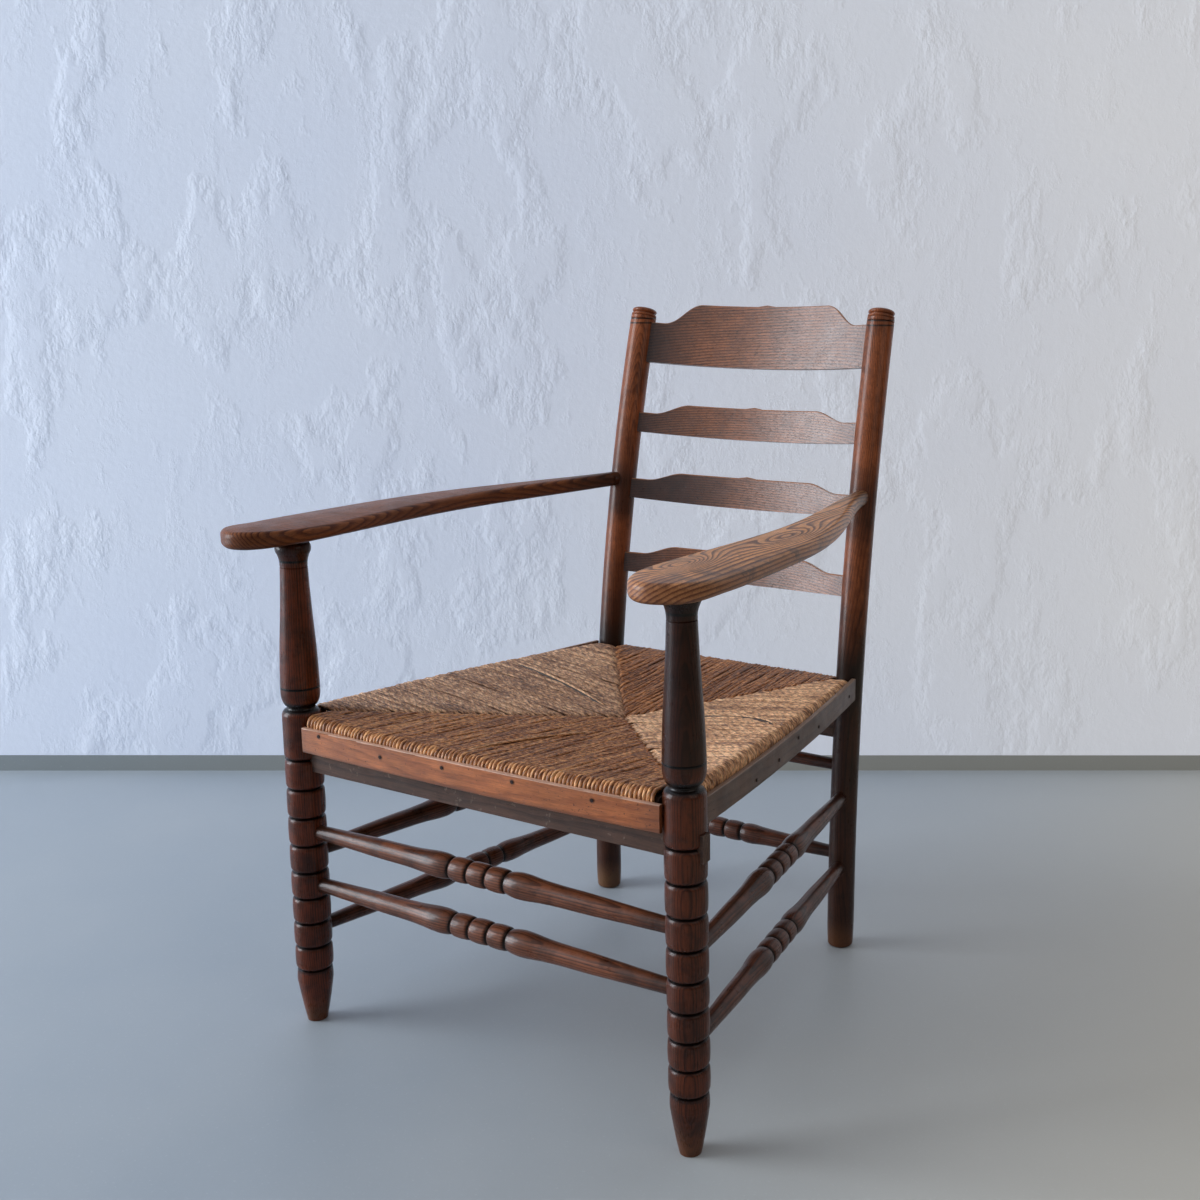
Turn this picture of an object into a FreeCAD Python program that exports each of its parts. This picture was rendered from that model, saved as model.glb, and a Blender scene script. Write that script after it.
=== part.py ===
import FreeCAD, Part
import math
import os

# Ladderback armchair with a rush seat. Millimetres, +Z up, the chair faces -Y and
# +X is the sitter's left. Heights are from the floor; depths are first measured from midway
# between the front and back feet, then moved so that the origin is midway along the whole depth.

# Front legs: one turning each, from the foot to the arm
leg_foot_x = 300.5
leg_y = -281.0
leg_splay_deg = 0.85
leg_radius = 24.4
foot_bottom_radius = 13.0
leg_foot_spare = 0.5
foot_middle_radius = 18.6
foot_bulb_height = 60.0
foot_top_groove_z = 77.5
bobbin_count = 8
lowest_bobbin_height = 33.5
bobbin_height_step = 1.0
groove_depth = 4.6
groove_half_width = 1.7
bobbin_shoulder = 6.5
drum_height = 69.0
drum_shoulder = 9.0
neck_radius = 17.6
neck_half_width = 3.0
baluster_waist_radius = 17.0
collar_radius = 22.0
collar_height = 18.0
incised_line_depth = 0.8
arm_tenon_radius = 11.0
arm_tenon_length = 17.0

# Back posts: round, upright at the foot, then bent backwards in one long arc
post_x = 216.5
post_y = 279.5
post_radius = 20.2
post_foot_radius = 16.0
post_foot_taper_height = 42.0
post_foot_edge = 4.0
post_bend_start_z = 100.0
post_bend_radius = 3300.0
post_bend_turned_in_deg = 4.2
post_top_z = 950.0
finial_height = 22.0
finial_neck_radius = 16.6
finial_ring_depth = 1.5

# Arms: flat paddles with rounded edges
arm_front_y = -368.5
arm_front_z = 668.0
arm_rise = 15.0
arm_front_half_thickness = 13.3
arm_end_half_thickness = 10.6
arm_crown = 4.6
arm_crown_half_width = 50.0
arm_nose_length = 42.0
arm_nose_thinning = 3.0
arm_edge_radius = 7.6
arm_nose = [(-362.0, 322.0), (-368.5, 302.5), (-363.5, 284.0)]
arm_end_tenon_radius = 8.5
arm_outer_edge = [(-346.0, 341.0), (-318.0, 351.5), (-262.0, 355.0), (-180.0, 351.0),
                  (-62.0, 339.5), (78.0, 305.0), (197.0, 263.0), (270.0, 239.0), (330.0, 225.2)]
arm_inner_edge = [(-346.0, 267.0), (-318.0, 254.5), (-262.0, 248.0), (-180.0, 253.0),
                  (-62.0, 260.5), (78.0, 251.0), (197.0, 228.5), (270.0, 214.5), (330.0, 204.0)]
arm_end_depth_in_post = 9.5

# Slats: bent backwards, with a raised middle; each lower slat has its distance below the post's top
# to the middle of its ends, its raise and its dip
slat_thickness = 8.0
slat_bow = 32.0
slat_half_span = 195.0
slat_set_forward = 2.0
slat_raised_half_length = 108.0
slat_ogee_length = 64.0
slat_bevel = 1.6
slat_point_height = 2.4
slat_point_half_length = 16.0
crest_height = 64.0
crest_raise = 33.0
crest_below_post_top = 53.0
lower_slat_height = 31.0
lower_slats = [("upper_slat", 178.0, 16.5, 1.5), ("middle_slat", 282.0, 13.5, 3.2), ("lower_slat", 399.0, 14.0, 2.2)]
slat_depth_in_post = 12.0

# Seat rails, and the rush wound on them
front_rail_z = 410.0
side_rail_front_z = 412.0
side_rail_back_z = 399.5
back_rail_z = 399.0
front_rail_height = 30.0
side_rail_height = 26.0
back_rail_height = 22.0
seat_outline_z = 406.0
front_rail_width = 18.0
side_rail_width = 16.0
back_rail_width = 18.0
front_rail_forward = 4.0
side_rail_inward = 4.0
rail_tenon_radius = 7.5
rail_end_gap = 1.5
rush_wrap = 4.2
rush_front_top_z = 437.0
rush_back_top_z = 415.5
rush_front_bottom_z = 390.3
rush_back_bottom_z = 383.0
rush_edge_rounding = 8.0
rush_sag = 31.0
rush_underside_sag = 20.0
rush_corner_gap = 0.8
front_bow = 7.0
side_bow = 9.0
back_bow = 2.0

# Edging strips nailed over the rush, bent outwards by it; their ends are measured from the leg axes
strip_thickness = 6.0
strip_bottom_z = 389.3
strip_top_z = 422.0
back_strip_drop = 12.0
strip_edge_rounding = 1.6
strip_ends = {"front": (26.0, 17.6), "back": (15.7, 15.7), "left": (23.4, 18.9)}
nail_radius = 1.0
nail_head_radius = 2.2
nail_head_height = 0.7
nail_head_gap = 0.2
nail_length = 24.0
front_nails = [(58.0, 416.0), (166.0, 408.5), (267.0, 413.0), (373.0, 414.5), (484.0, 412.5)]
side_nails = [(156.0, 399.0), (228.0, 402.0), (296.0, 411.0), (378.0, 402.0), (525.0, 405.0)]
back_nails = [(60.0, 396.0), (165.0, 394.0), (270.0, 397.0), (375.0, 395.0)]

# Bearers: boards below the seat
bearer_thickness = 15.0
front_bearer_top_z = 389.8
front_bearer_height = 32.0
back_bearer_top_z = 382.5
back_bearer_height = 56.5
front_bearer_proud = 2.5
back_bearer_depth = 11.0

# Stretchers
stretcher_end_radius = 9.4
stretcher_middle_radius = 15.2
stretcher_ring_length = 29.0
stretcher_ring_count = 3
stretcher_groove_depth = 3.6
stretcher_groove_half_width = 1.9
front_stretchers_z = [("front_upper_stretcher", 272.0), ("front_lower_stretcher", 198.0)]
side_stretchers_z = [("upper_stretcher", 239.0), ("lower_stretcher", 130.5)]
back_stretchers_z = [("back_upper_stretcher", 283.5), ("back_lower_stretcher", 146.0)]
back_upper_stretcher_radius = 9.4

# The origin is under the middle of the whole chair's depth
origin_y = 28.65

# Clearances
fit = 0.1
seat_gap = 0.3

SIDES = [("left", 1), ("right", -1)]
Z_AXIS = FreeCAD.Vector(0, 0, 1)
ORIGIN = FreeCAD.Vector(0, 0, 0)

leg_splay = math.radians(leg_splay_deg)
post_turn_in = math.radians(post_bend_turned_in_deg)
bobbins_height = bobbin_count * lowest_bobbin_height + bobbin_height_step * bobbin_count * (bobbin_count - 1) / 2
drum_bottom_z = foot_top_groove_z + bobbins_height
neck_z = drum_bottom_z + drum_height
groove_radius = leg_radius - groove_depth
post_shaft_top_z = post_top_z - finial_height
crossing_gap = stretcher_end_radius + seat_gap


def vec(x, y, z):
    return FreeCAD.Vector(x, y, z)


def leg_point(side, z):
    """A front leg's axis at height z."""
    return vec(side * (leg_foot_x - z * math.tan(leg_splay)), leg_y, z)


def post_point(side, z):
    """A back post's axis at height z."""
    rise = max(z - post_bend_start_z, 0.0)
    set_back = post_bend_radius - math.sqrt(post_bend_radius ** 2 - rise ** 2)
    x = post_x - set_back * math.sin(post_turn_in)
    return vec(side * x, post_y + set_back * math.cos(post_turn_in), z)


def post_slope(z):
    """The post's lean from upright at height z, in radians."""
    return math.asin(max(z - post_bend_start_z, 0.0) / post_bend_radius)


def placed(shape, start, direction):
    """Turn a shape made along +Z to run from start along direction."""
    moved = shape.copy()
    turn = FreeCAD.Rotation(Z_AXIS, direction)
    moved.Placement = FreeCAD.Placement(start, turn)
    return moved


def wire_through(points):
    """Straight runs through the points."""
    return [Part.LineSegment(a, b).toShape() for a, b in zip(points, points[1:])]


def mirrored(shape):
    """The same shape on the other side of the chair."""
    return shape.mirror(ORIGIN, vec(1, 0, 0))


def mirrored_point(point):
    return vec(-point.x, point.y, point.z)


def arc(a, middle, b):
    return Part.Arc(a, middle, b).toShape()


def curve(points):
    """A smooth curve through the points."""
    spline = Part.BSplineCurve()
    spline.interpolate(points)
    return spline.toShape()


def turned(edges, bottom, top):
    """Revolve an outline drawn at x = radius, z = height, closed along its axis."""
    ends = wire_through([vec(0, 0, top.z), vec(0, 0, bottom.z), bottom])
    cap = wire_through([top, vec(0, 0, top.z)])
    face = Part.Face(Part.Wire(Part.__sortEdges__(ends + edges + cap)))
    return face.revolve(ORIGIN, Z_AXIS, 360)


def rod(start, direction, radius, length):
    return Part.makeCylinder(radius, length, start, direction)


def incised_ring(radius, z):
    """A thin V cut round a turning."""
    half = incised_line_depth
    points = [vec(radius + half, 0, z - 2 * half), vec(radius - half, 0, z),
              vec(radius + half, 0, z + 2 * half)]
    face = Part.Face(Part.makePolygon(points + [points[0]]))
    return face.revolve(ORIGIN, Z_AXIS, 360)


# Turned outlines
def bulge(low, high, body_radius, floor_radius, lip, shoulder, belly):
    """Edges of one swelling between two grooves."""
    lip_radius = floor_radius + 0.55 * (body_radius - floor_radius)
    side_radius = body_radius - belly
    a = vec(floor_radius, 0, low)
    b = vec(lip_radius, 0, low + lip)
    c = vec(side_radius, 0, low + shoulder)
    d = vec(side_radius, 0, high - shoulder)
    e = vec(lip_radius, 0, high - lip)
    f = vec(floor_radius, 0, high)
    lower_middle = vec(side_radius - 0.3 * (side_radius - lip_radius), 0, low + lip + 0.42 * (shoulder - lip))
    upper_middle = vec(lower_middle.x, 0, high - lip - 0.42 * (shoulder - lip))
    edges = wire_through([a, b])
    edges.append(arc(b, lower_middle, c))
    edges.append(arc(c, vec(body_radius, 0, (low + high) / 2), d))
    edges.append(arc(d, upper_middle, e))
    edges += wire_through([e, f])
    return edges


def leg_foot_edges():
    """The tapered foot and its bulb, up to the lowest groove."""
    bulb = vec(leg_radius - 1.2, 0, foot_bulb_height)
    lip = vec(groove_radius + 0.55 * groove_depth, 0, foot_top_groove_z - groove_half_width)
    turn = vec(leg_radius - 1.2, 0, foot_bulb_height + bobbin_shoulder + 1.5)
    taper = arc(vec(foot_bottom_radius, 0, 0), vec(foot_middle_radius, 0, foot_bulb_height / 2), bulb)
    shoulder = arc(bulb, turn, lip)
    return [taper, shoulder] + wire_through([lip, vec(groove_radius, 0, foot_top_groove_z)])


def leg_bobbin_edges():
    edges = []
    low = foot_top_groove_z
    for index in range(bobbin_count):
        high = low + lowest_bobbin_height + index * bobbin_height_step
        edges += bulge(low, high, leg_radius, groove_radius, groove_half_width, bobbin_shoulder, 0.35)
        low = high
    return edges


def leg_drum_edges():
    """The plain drum at seat height, closed by the neck above it."""
    low = drum_bottom_z
    high = neck_z - neck_half_width
    lip = vec(groove_radius + 0.55 * groove_depth, 0, low + groove_half_width)
    bottom = vec(leg_radius, 0, low + bobbin_shoulder)
    bottom_middle = vec(leg_radius - 0.7, 0, low + 0.55 * bobbin_shoulder)
    top = vec(leg_radius, 0, high - drum_shoulder)
    edge = vec(neck_radius + 1.6, 0, high)
    top_middle = vec(leg_radius - 1.7, 0, high - 0.33 * drum_shoulder)
    edges = wire_through([vec(groove_radius, 0, low), lip])
    edges.append(arc(lip, bottom_middle, bottom))
    edges += wire_through([bottom, top])
    edges.append(arc(top, top_middle, edge))
    return edges


def leg_baluster_edges(top_z):
    """The neck, the baluster and the collar that carries the arm."""
    low = vec(neck_radius + 1.6, 0, neck_z - neck_half_width)
    neck = vec(neck_radius, 0, neck_z)
    foot = vec(neck_radius + 2.6, 0, neck_z + neck_half_width)
    waist_z = top_z - collar_height - 13.0
    span = waist_z - neck_z
    swell = leg_radius + 0.2
    drop = swell - baluster_waist_radius
    body = [foot, vec(swell - 1.2, 0, neck_z + 0.055 * span), vec(swell, 0, neck_z + 0.13 * span),
            vec(swell - 0.05 * drop, 0, neck_z + 0.22 * span), vec(swell - 0.24 * drop, 0, neck_z + 0.42 * span),
            vec(swell - 0.55 * drop, 0, neck_z + 0.62 * span), vec(swell - 0.85 * drop, 0, neck_z + 0.84 * span),
            vec(baluster_waist_radius, 0, waist_z)]
    collar_low = vec(collar_radius - 0.6, 0, top_z - collar_height * 0.62)
    collar_top = vec(collar_radius - 2.2, 0, top_z)
    flare_middle = vec(baluster_waist_radius + 0.9, 0, top_z - collar_height - 2.2)
    edges = [arc(low, neck, foot), curve(body)]
    edges.append(arc(vec(baluster_waist_radius, 0, waist_z), flare_middle, collar_low))
    edges.append(arc(collar_low, vec(collar_radius, 0, top_z - collar_height * 0.3), collar_top))
    return edges


def leg_collar_top_z():
    """Underside of the arm over the leg, less the gap."""
    return arm_middle_z(leg_y) - arm_half_thickness(leg_y) - seat_gap


def front_leg(side):
    top_z = leg_collar_top_z()
    edges = leg_foot_edges() + leg_bobbin_edges() + leg_drum_edges() + leg_baluster_edges(top_z)
    shoulder = vec(collar_radius - 2.2, 0, top_z)
    tenon_foot = vec(arm_tenon_radius, 0, top_z)
    tenon_top = vec(arm_tenon_radius, 0, top_z + arm_tenon_length)
    edges += wire_through([shoulder, tenon_foot, tenon_top])
    leg = turned(edges, vec(foot_bottom_radius, 0, 0), tenon_top)
    waist_z = top_z - collar_height - 13.0
    leg = leg.cut(incised_ring(leg_radius + 0.2, neck_z + 0.145 * (waist_z - neck_z)))
    leg = leg.cut(incised_ring(baluster_waist_radius, waist_z))
    leg = placed(leg, leg_point(side, 0) - leg_direction(side) * leg_foot_spare, leg_direction(side))
    below = 2 * leg_radius
    floor = Part.makeBox(2 * below, 2 * below, below, leg_point(side, 0) - vec(below, below, below))
    return leg.cut(floor)


def leg_direction(side):
    return vec(-side * math.sin(leg_splay), 0, math.cos(leg_splay))


def post_foot():
    """The upright foot of a post, up to where its bend starts."""
    base = vec(post_foot_radius, 0, 0)
    edge = vec(post_foot_radius + post_foot_edge * 0.75, 0, post_foot_edge)
    body = vec(post_radius, 0, post_foot_taper_height)
    top = vec(post_radius, 0, post_bend_start_z)
    corner = vec(post_foot_radius + post_foot_edge * 0.45, 0, post_foot_edge * 0.32)
    taper_middle = vec((edge.x + body.x) / 2 + 0.35, 0, (edge.z + body.z) / 2)
    edges = [arc(base, corner, edge), arc(edge, taper_middle, body)] + wire_through([body, top])
    return turned(edges, base, top)


def finial():
    """Two ring grooves, a neck groove and a button, above the shaft."""
    ring = finial_ring_depth
    low = 0.16 * finial_height
    high = 0.44 * finial_height
    neck = 0.65 * finial_height
    button = post_radius - 0.7
    shaft = [vec(post_radius, 0, 0), vec(post_radius, 0, low - 0.8), vec(post_radius - ring, 0, low),
             vec(post_radius - 0.2, 0, low + 0.8), vec(post_radius - 0.2, 0, high - 0.8),
             vec(post_radius - ring - 0.2, 0, high), vec(post_radius - 0.4, 0, high + 0.8),
             vec(post_radius - 0.6, 0, neck - 1.6), vec(finial_neck_radius, 0, neck - 0.4),
             vec(finial_neck_radius, 0, neck + 0.4), vec(button - 1.0, 0, neck + 1.4)]
    brim = vec(button - 0.6, 0, finial_height - 2.6)
    crown = vec(0.5 * button, 0, finial_height)
    edges = wire_through(shaft)
    edges.append(arc(shaft[-1], vec(button, 0, (neck + finial_height) / 2 - 0.4), brim))
    edges.append(arc(brim, vec(0.84 * button, 0, finial_height - 0.7), crown))
    return turned(edges, shaft[0], crown)


def post_blank(side):
    """A post before its mortises are cut."""
    start = post_point(side, post_bend_start_z)
    end = post_point(side, post_shaft_top_z)
    middle = post_point(side, (post_bend_start_z + post_shaft_top_z) / 2)
    path = Part.Wire(arc(start, middle, end))
    circle = Part.Wire(Part.makeCircle(post_radius, start, Z_AXIS))
    bend = path.makePipeShell([circle], True, True)
    lean = post_slope(post_shaft_top_z)
    direction = vec(-side * math.sin(lean) * math.sin(post_turn_in),
                    math.sin(lean) * math.cos(post_turn_in), math.cos(lean))
    foot = placed(post_foot(), post_point(side, 0), Z_AXIS)
    head = placed(finial(), end, direction)
    return foot.fuse([bend, head]).removeSplitter()


def post_stand_in(side, low_z, high_z, gap):
    """A straight cylinder in place of a short length of post, a little larger."""
    low = post_point(side, low_z)
    high = post_point(side, high_z)
    return rod(low, high - low, post_radius + gap, (high - low).Length)


# Arms
def arm_end_y():
    """Where an arm's middle line meets the front of its post."""
    return post_point(1, arm_front_z + arm_rise).y - post_radius


def arm_share(y):
    return (y - arm_front_y) / (arm_end_y() - arm_front_y)


def arm_middle_z(y):
    return arm_front_z + arm_rise * arm_share(y)


def arm_half_thickness(y):
    thickness = arm_front_half_thickness + (arm_end_half_thickness - arm_front_half_thickness) * arm_share(y)
    along_nose = max(arm_front_y + arm_nose_length - y, 0.0) / arm_nose_length
    return thickness - arm_nose_thinning * along_nose ** 2


def arm_plan():
    """The arm's outline from above: outer edge, rounded front, inner edge."""
    outer = [vec(x, y, 0) for y, x in reversed(arm_outer_edge)]
    nose = [vec(x, y, 0) for y, x in arm_nose]
    inner = [vec(x, y, 0) for y, x in arm_inner_edge]
    edges = [curve(outer + nose + inner)] + wire_through([inner[-1], outer[0]])
    return Part.Face(Part.Wire(edges))


def arm_crown_section(x, y):
    """A lens across the arm at y, wider than the arm, crowned above and below."""
    reach = 1.28 * arm_crown_half_width
    drop = arm_crown * 1.28 ** 2
    z = arm_middle_z(y)
    half = arm_half_thickness(y)
    top = [vec(x + reach, y, z + half - drop), vec(x, y, z + half), vec(x - reach, y, z + half - drop)]
    low = [vec(x - reach, y, z - half + drop), vec(x, y, z - half), vec(x + reach, y, z - half + drop)]
    edges = [arc(*top)] + wire_through([top[2], low[0]]) + [arc(*low)] + wire_through([low[2], top[0]])
    return Part.Wire(edges)


def arm_crown_body():
    """The crowned thickness that the arm's outline is cut from."""
    front_x = arm_nose[1][1]
    sections = [arm_crown_section(front_x, arm_front_y - 6.0), arm_crown_section(front_x, arm_front_y + 14.0)]
    for outer, inner in zip(arm_outer_edge, arm_inner_edge):
        sections.append(arm_crown_section((outer[1] + inner[1]) / 2, outer[0]))
    last = arm_outer_edge[-1][0] + 12.0
    sections.append(arm_crown_section((arm_outer_edge[-1][1] + arm_inner_edge[-1][1]) / 2 - 1.5, last))
    return Part.makeLoft(sections, True)


def arm_tenon(radius, depth):
    """The round tenon at the arm's back end."""
    z = arm_middle_z(arm_end_y())
    x = (arm_outer_edge[-1][1] + arm_inner_edge[-1][1]) / 2
    start = arm_end_y() - arm_end_half_thickness
    return rod(vec(x, start, z), vec(0, 1, 0), radius, arm_end_half_thickness + depth)


def left_arm():
    """The left arm, coped to its post and bored for the leg's tenon."""
    board = arm_plan().extrude(vec(0, 0, 2 * arm_front_z)).common(arm_crown_body())
    long_edges = [edge for edge in board.Edges if edge.Length > arm_end_y() - arm_front_y]
    board = board.makeFillet(arm_edge_radius, long_edges)
    z = arm_middle_z(arm_end_y())
    arm = board.cut(post_stand_in(1, z - post_radius, z + post_radius, fit))
    reach = 2 * post_radius
    beyond = Part.makeBox(2 * reach, 2 * reach, 2 * reach, post_point(1, z) - vec(reach, 0, reach))
    arm = arm.cut(beyond).fuse(arm_tenon(arm_end_tenon_radius, arm_end_depth_in_post)).removeSplitter()
    top_z = leg_collar_top_z()
    socket = placed(Part.makeCylinder(arm_tenon_radius + fit, arm_tenon_length + 5.0 + 2 * fit),
                    leg_point(1, top_z - 5.0), leg_direction(1))
    return arm.cut(socket)


# Slats
def slat_top_edges(half_height, raise_height, half_length):
    """The slat's top edge: level ends, an ogee to the raised middle, a small point."""
    end_z = half_height
    top_z = half_height + raise_height
    ogee_end = slat_raised_half_length + slat_ogee_length
    turn_x = (slat_raised_half_length + ogee_end) / 2
    turn_z = (end_z + top_z) / 2
    corner = vec(slat_raised_half_length, 0, top_z)
    foot = vec(ogee_end, 0, end_z)
    upper = vec((slat_raised_half_length + turn_x) / 2 + 3.0, 0, top_z - 0.17 * raise_height)
    lower = vec((ogee_end + turn_x) / 2 - 3.0, 0, end_z + 0.17 * raise_height)
    point_foot = vec(slat_point_half_length, 0, top_z)
    half = [curve([foot, lower, vec(turn_x, 0, turn_z), upper, corner])]
    half += wire_through([vec(half_length, 0, end_z), foot])
    half += wire_through([corner, point_foot, vec(0, 0, top_z + slat_point_height)])
    return half


def slat_outline(height, raise_height, dip, half_length, grow):
    half_height = height / 2 + grow
    if raise_height > 0:
        right = slat_top_edges(half_height, raise_height, half_length)
        top = right + [mirrored(edge) for edge in right]
    else:
        top = wire_through([vec(half_length, 0, half_height), vec(-half_length, 0, half_height)])
    low = vec(half_length, 0, -half_height)
    turn = vec(slat_half_span - 6.0, 0, -half_height)
    bottom = wire_through([vec(half_length, 0, half_height), low, turn])
    bottom += [mirrored(edge) for edge in bottom]
    if dip > 0:
        bottom.append(arc(turn, vec(0, 0, -half_height - dip), mirrored_point(turn)))
    else:
        bottom += wire_through([turn, mirrored_point(turn)])
    return Part.Face(Part.Wire(Part.__sortEdges__(top + bottom)))


def bent_band(height, half_length, grow):
    """The curved board that a slat is cut from: bent backwards between the posts."""
    bow_radius = (slat_half_span ** 2 + slat_bow ** 2) / (2 * slat_bow)
    centre = vec(0, slat_bow - bow_radius - slat_set_forward, -height)
    outer = Part.makeCylinder(bow_radius + slat_thickness / 2 + grow, 2 * height, centre, Z_AXIS)
    inner = Part.makeCylinder(bow_radius - slat_thickness / 2 - grow, 2 * height, centre, Z_AXIS)
    return outer.cut(inner)


def slat(z, height, raise_height, dip, grow, extra_length):
    half_length = post_point(1, z).x - post_radius + slat_depth_in_post + extra_length
    face = slat_outline(height, raise_height, dip, half_length, grow)
    depth = 3 * slat_bow
    face.translate(vec(0, -depth, 0))
    board = face.extrude(vec(0, 2 * depth, 0)).common(bent_band(height + raise_height, half_length, grow))
    if grow == 0:
        board = with_bevelled_top(board, height / 2)
    lean = FreeCAD.Rotation(vec(1, 0, 0), -math.degrees(post_slope(z)))
    board.Placement = FreeCAD.Placement(vec(0, post_point(1, z).y, z), lean)
    return board


def with_bevelled_top(board, level):
    """Bevel the long edges of a slat's top."""
    edges = []
    for edge in board.Edges:
        box = edge.BoundBox
        if box.ZMin > level - 0.01 and box.XLength > 5.0:
            edges.append(edge)
    return board.makeChamfer(slat_bevel, edges)


def slat_mortise(z, height):
    return slat(z, height, 0, 0, fit, seat_gap)


# Turned stretchers
def stretcher_half_edges(half, start):
    """Half the outline, from the hidden end to the middle, along +Z from the start."""
    pattern = stretcher_ring_count * stretcher_ring_length / 2
    outer_groove = half - pattern
    end = vec(stretcher_end_radius, 0, start)
    face = vec(stretcher_end_radius, 0, start + 14.0)
    rise = stretcher_middle_radius - stretcher_end_radius
    length = outer_groove - face.z
    swell = [face, vec(face.x + 0.24 * rise, 0, face.z + 0.25 * length),
             vec(face.x + 0.52 * rise, 0, face.z + 0.5 * length),
             vec(face.x + 0.86 * rise, 0, face.z + 0.8 * length),
             vec(stretcher_middle_radius, 0, outer_groove - 9.0),
             vec(stretcher_middle_radius - 0.45 * stretcher_groove_depth, 0,
                 outer_groove - stretcher_groove_half_width)]
    edges = wire_through([end, face])
    edges.append(curve(swell))
    edges += wire_through([swell[-1], vec(stretcher_middle_radius - stretcher_groove_depth, 0, outer_groove)])
    return edges


def stretcher(start, end):
    """A turned stretcher between two leg axes, its round ends let into the legs."""
    length = (end - start).Length
    half = length / 2
    hidden = crossing_gap
    edges = stretcher_half_edges(half, hidden)
    other_half = [edge.mirror(vec(0, 0, half), Z_AXIS) for edge in edges]
    floor = stretcher_middle_radius - stretcher_groove_depth
    low = half - stretcher_ring_count * stretcher_ring_length / 2
    rings = []
    for index in range(stretcher_ring_count):
        high = low + stretcher_ring_length
        rings += bulge(low, high, stretcher_middle_radius + 0.2, floor, stretcher_groove_half_width, 6.0, 0.5)
        low = high
    shape = turned(edges + rings + other_half, vec(stretcher_end_radius, 0, hidden),
                   vec(stretcher_end_radius, 0, length - hidden))
    return placed(shape, start, end - start)


def plain_stretcher(start, end, radius):
    """A stretcher with a slight swell and no rings."""
    length = (end - start).Length
    hidden = crossing_gap
    low = vec(radius - 0.6, 0, hidden)
    high = vec(radius - 0.6, 0, length - hidden)
    shape = turned([arc(low, vec(radius + 0.6, 0, length / 2), high)], low, high)
    return placed(shape, start, end - start)


def round_mortises(start, end, radius, inset):
    """The holes that a round member needs in what it joins, at both of its ends."""
    axis = (end - start).normalize()
    reach = leg_radius + 4.0
    near = rod(start + axis * (inset - seat_gap), axis, radius + fit, reach)
    far = rod(end - axis * (inset - seat_gap), axis * -1, radius + fit, reach)
    return near, far


# Seat rails, bearers and strips
def side_axis(side, z):
    """Ends and outward normal of a side of the seat, from leg axis to post axis."""
    start = leg_point(side, z)
    end = post_point(side, z)
    along = (end - start).normalize()
    outward = vec(along.y, -along.x, 0) * (1 if side > 0 else -1)
    return start, end, along, outward


def leg_stand_in(side, low_z, high_z, gap):
    """A plain cylinder in place of a leg, a little larger."""
    start = leg_point(side, low_z)
    return rod(start, leg_direction(side), leg_radius + gap, high_z - low_z)


def bar(start, end, outward, width, height, inset_start, inset_end):
    """A rectangular bar between two points, cut short at its ends."""
    along = (end - start).normalize()
    a = start + along * inset_start
    b = end - along * inset_end
    half = outward * (width / 2)
    low = vec(0, 0, -height / 2)
    corners = [a + half + low, b + half + low, b - half + low, a - half + low]
    face = Part.Face(Part.makePolygon(corners + [corners[0]]))
    return face.extrude(vec(0, 0, height))


def seat_line(name, z):
    """Axis points and outward direction of each side of the seat at height z."""
    if name == "front":
        return leg_point(-1, z), leg_point(1, z), vec(0, -1, 0)
    if name == "back":
        return post_point(-1, z), post_point(1, z), vec(0, 1, 0)
    start, end, along, outward = side_axis(1, z)
    return start, end, outward


def rail_ends(name):
    """Where a seat rail's middle line starts and ends."""
    start_z = {"front": front_rail_z, "back": back_rail_z}.get(name, side_rail_front_z)
    end_z = {"front": front_rail_z, "back": back_rail_z}.get(name, side_rail_back_z)
    shift = {"front": front_rail_forward, "back": 0.0}.get(name, -side_rail_inward)
    start = seat_line(name, start_z)[0]
    end = seat_line(name, end_z)[1]
    outward = seat_line(name, seat_outline_z)[2]
    return start + outward * shift, end + outward * shift, outward


def rail_size(name):
    """Width and height of a seat rail."""
    sizes = {"front": (front_rail_width, front_rail_height), "back": (back_rail_width, back_rail_height)}
    return sizes.get(name, (side_rail_width, side_rail_height))


def rail_insets(name):
    start_radius = post_radius if name == "back" else leg_radius
    end_radius = leg_radius if name == "front" else post_radius
    return start_radius + rail_end_gap, end_radius + rail_end_gap


def rail_tip():
    """Distance of every rail tenon's tip from the leg's axis."""
    return rail_tenon_radius + front_rail_forward + seat_gap


def seat_rail(name):
    start, end, outward = rail_ends(name)
    inset_start, inset_end = rail_insets(name)
    width, height = rail_size(name)
    body = bar(start, end, outward, width, height, inset_start, inset_end)
    long_edges = [edge for edge in body.Edges if edge.Length > 100]
    body = body.makeFillet(5.0, long_edges)
    along = (end - start).normalize()
    length = (end - start).Length - 2 * rail_tip()
    tenon = rod(start + along * rail_tip(), along, rail_tenon_radius, length)
    return body.fuse(tenon).removeSplitter()


def seat_circle(name):
    """Centre, radius and outward direction of the rush's bowed outer face on one side."""
    start, end, outward = seat_line(name, seat_outline_z)
    offset = {"front": front_rail_forward + front_rail_width / 2,
              "back": back_rail_width / 2}.get(name, side_rail_width / 2 - side_rail_inward) + rush_wrap
    bow = {"front": front_bow, "back": back_bow}.get(name, side_bow)
    chord = (end - start).Length
    radius = (chord ** 2 / 4 + bow ** 2) / (2 * bow)
    middle = (start + end) * 0.5
    centre = middle + outward * (offset + bow - radius)
    return vec(centre.x, centre.y, 0), radius, outward


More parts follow.
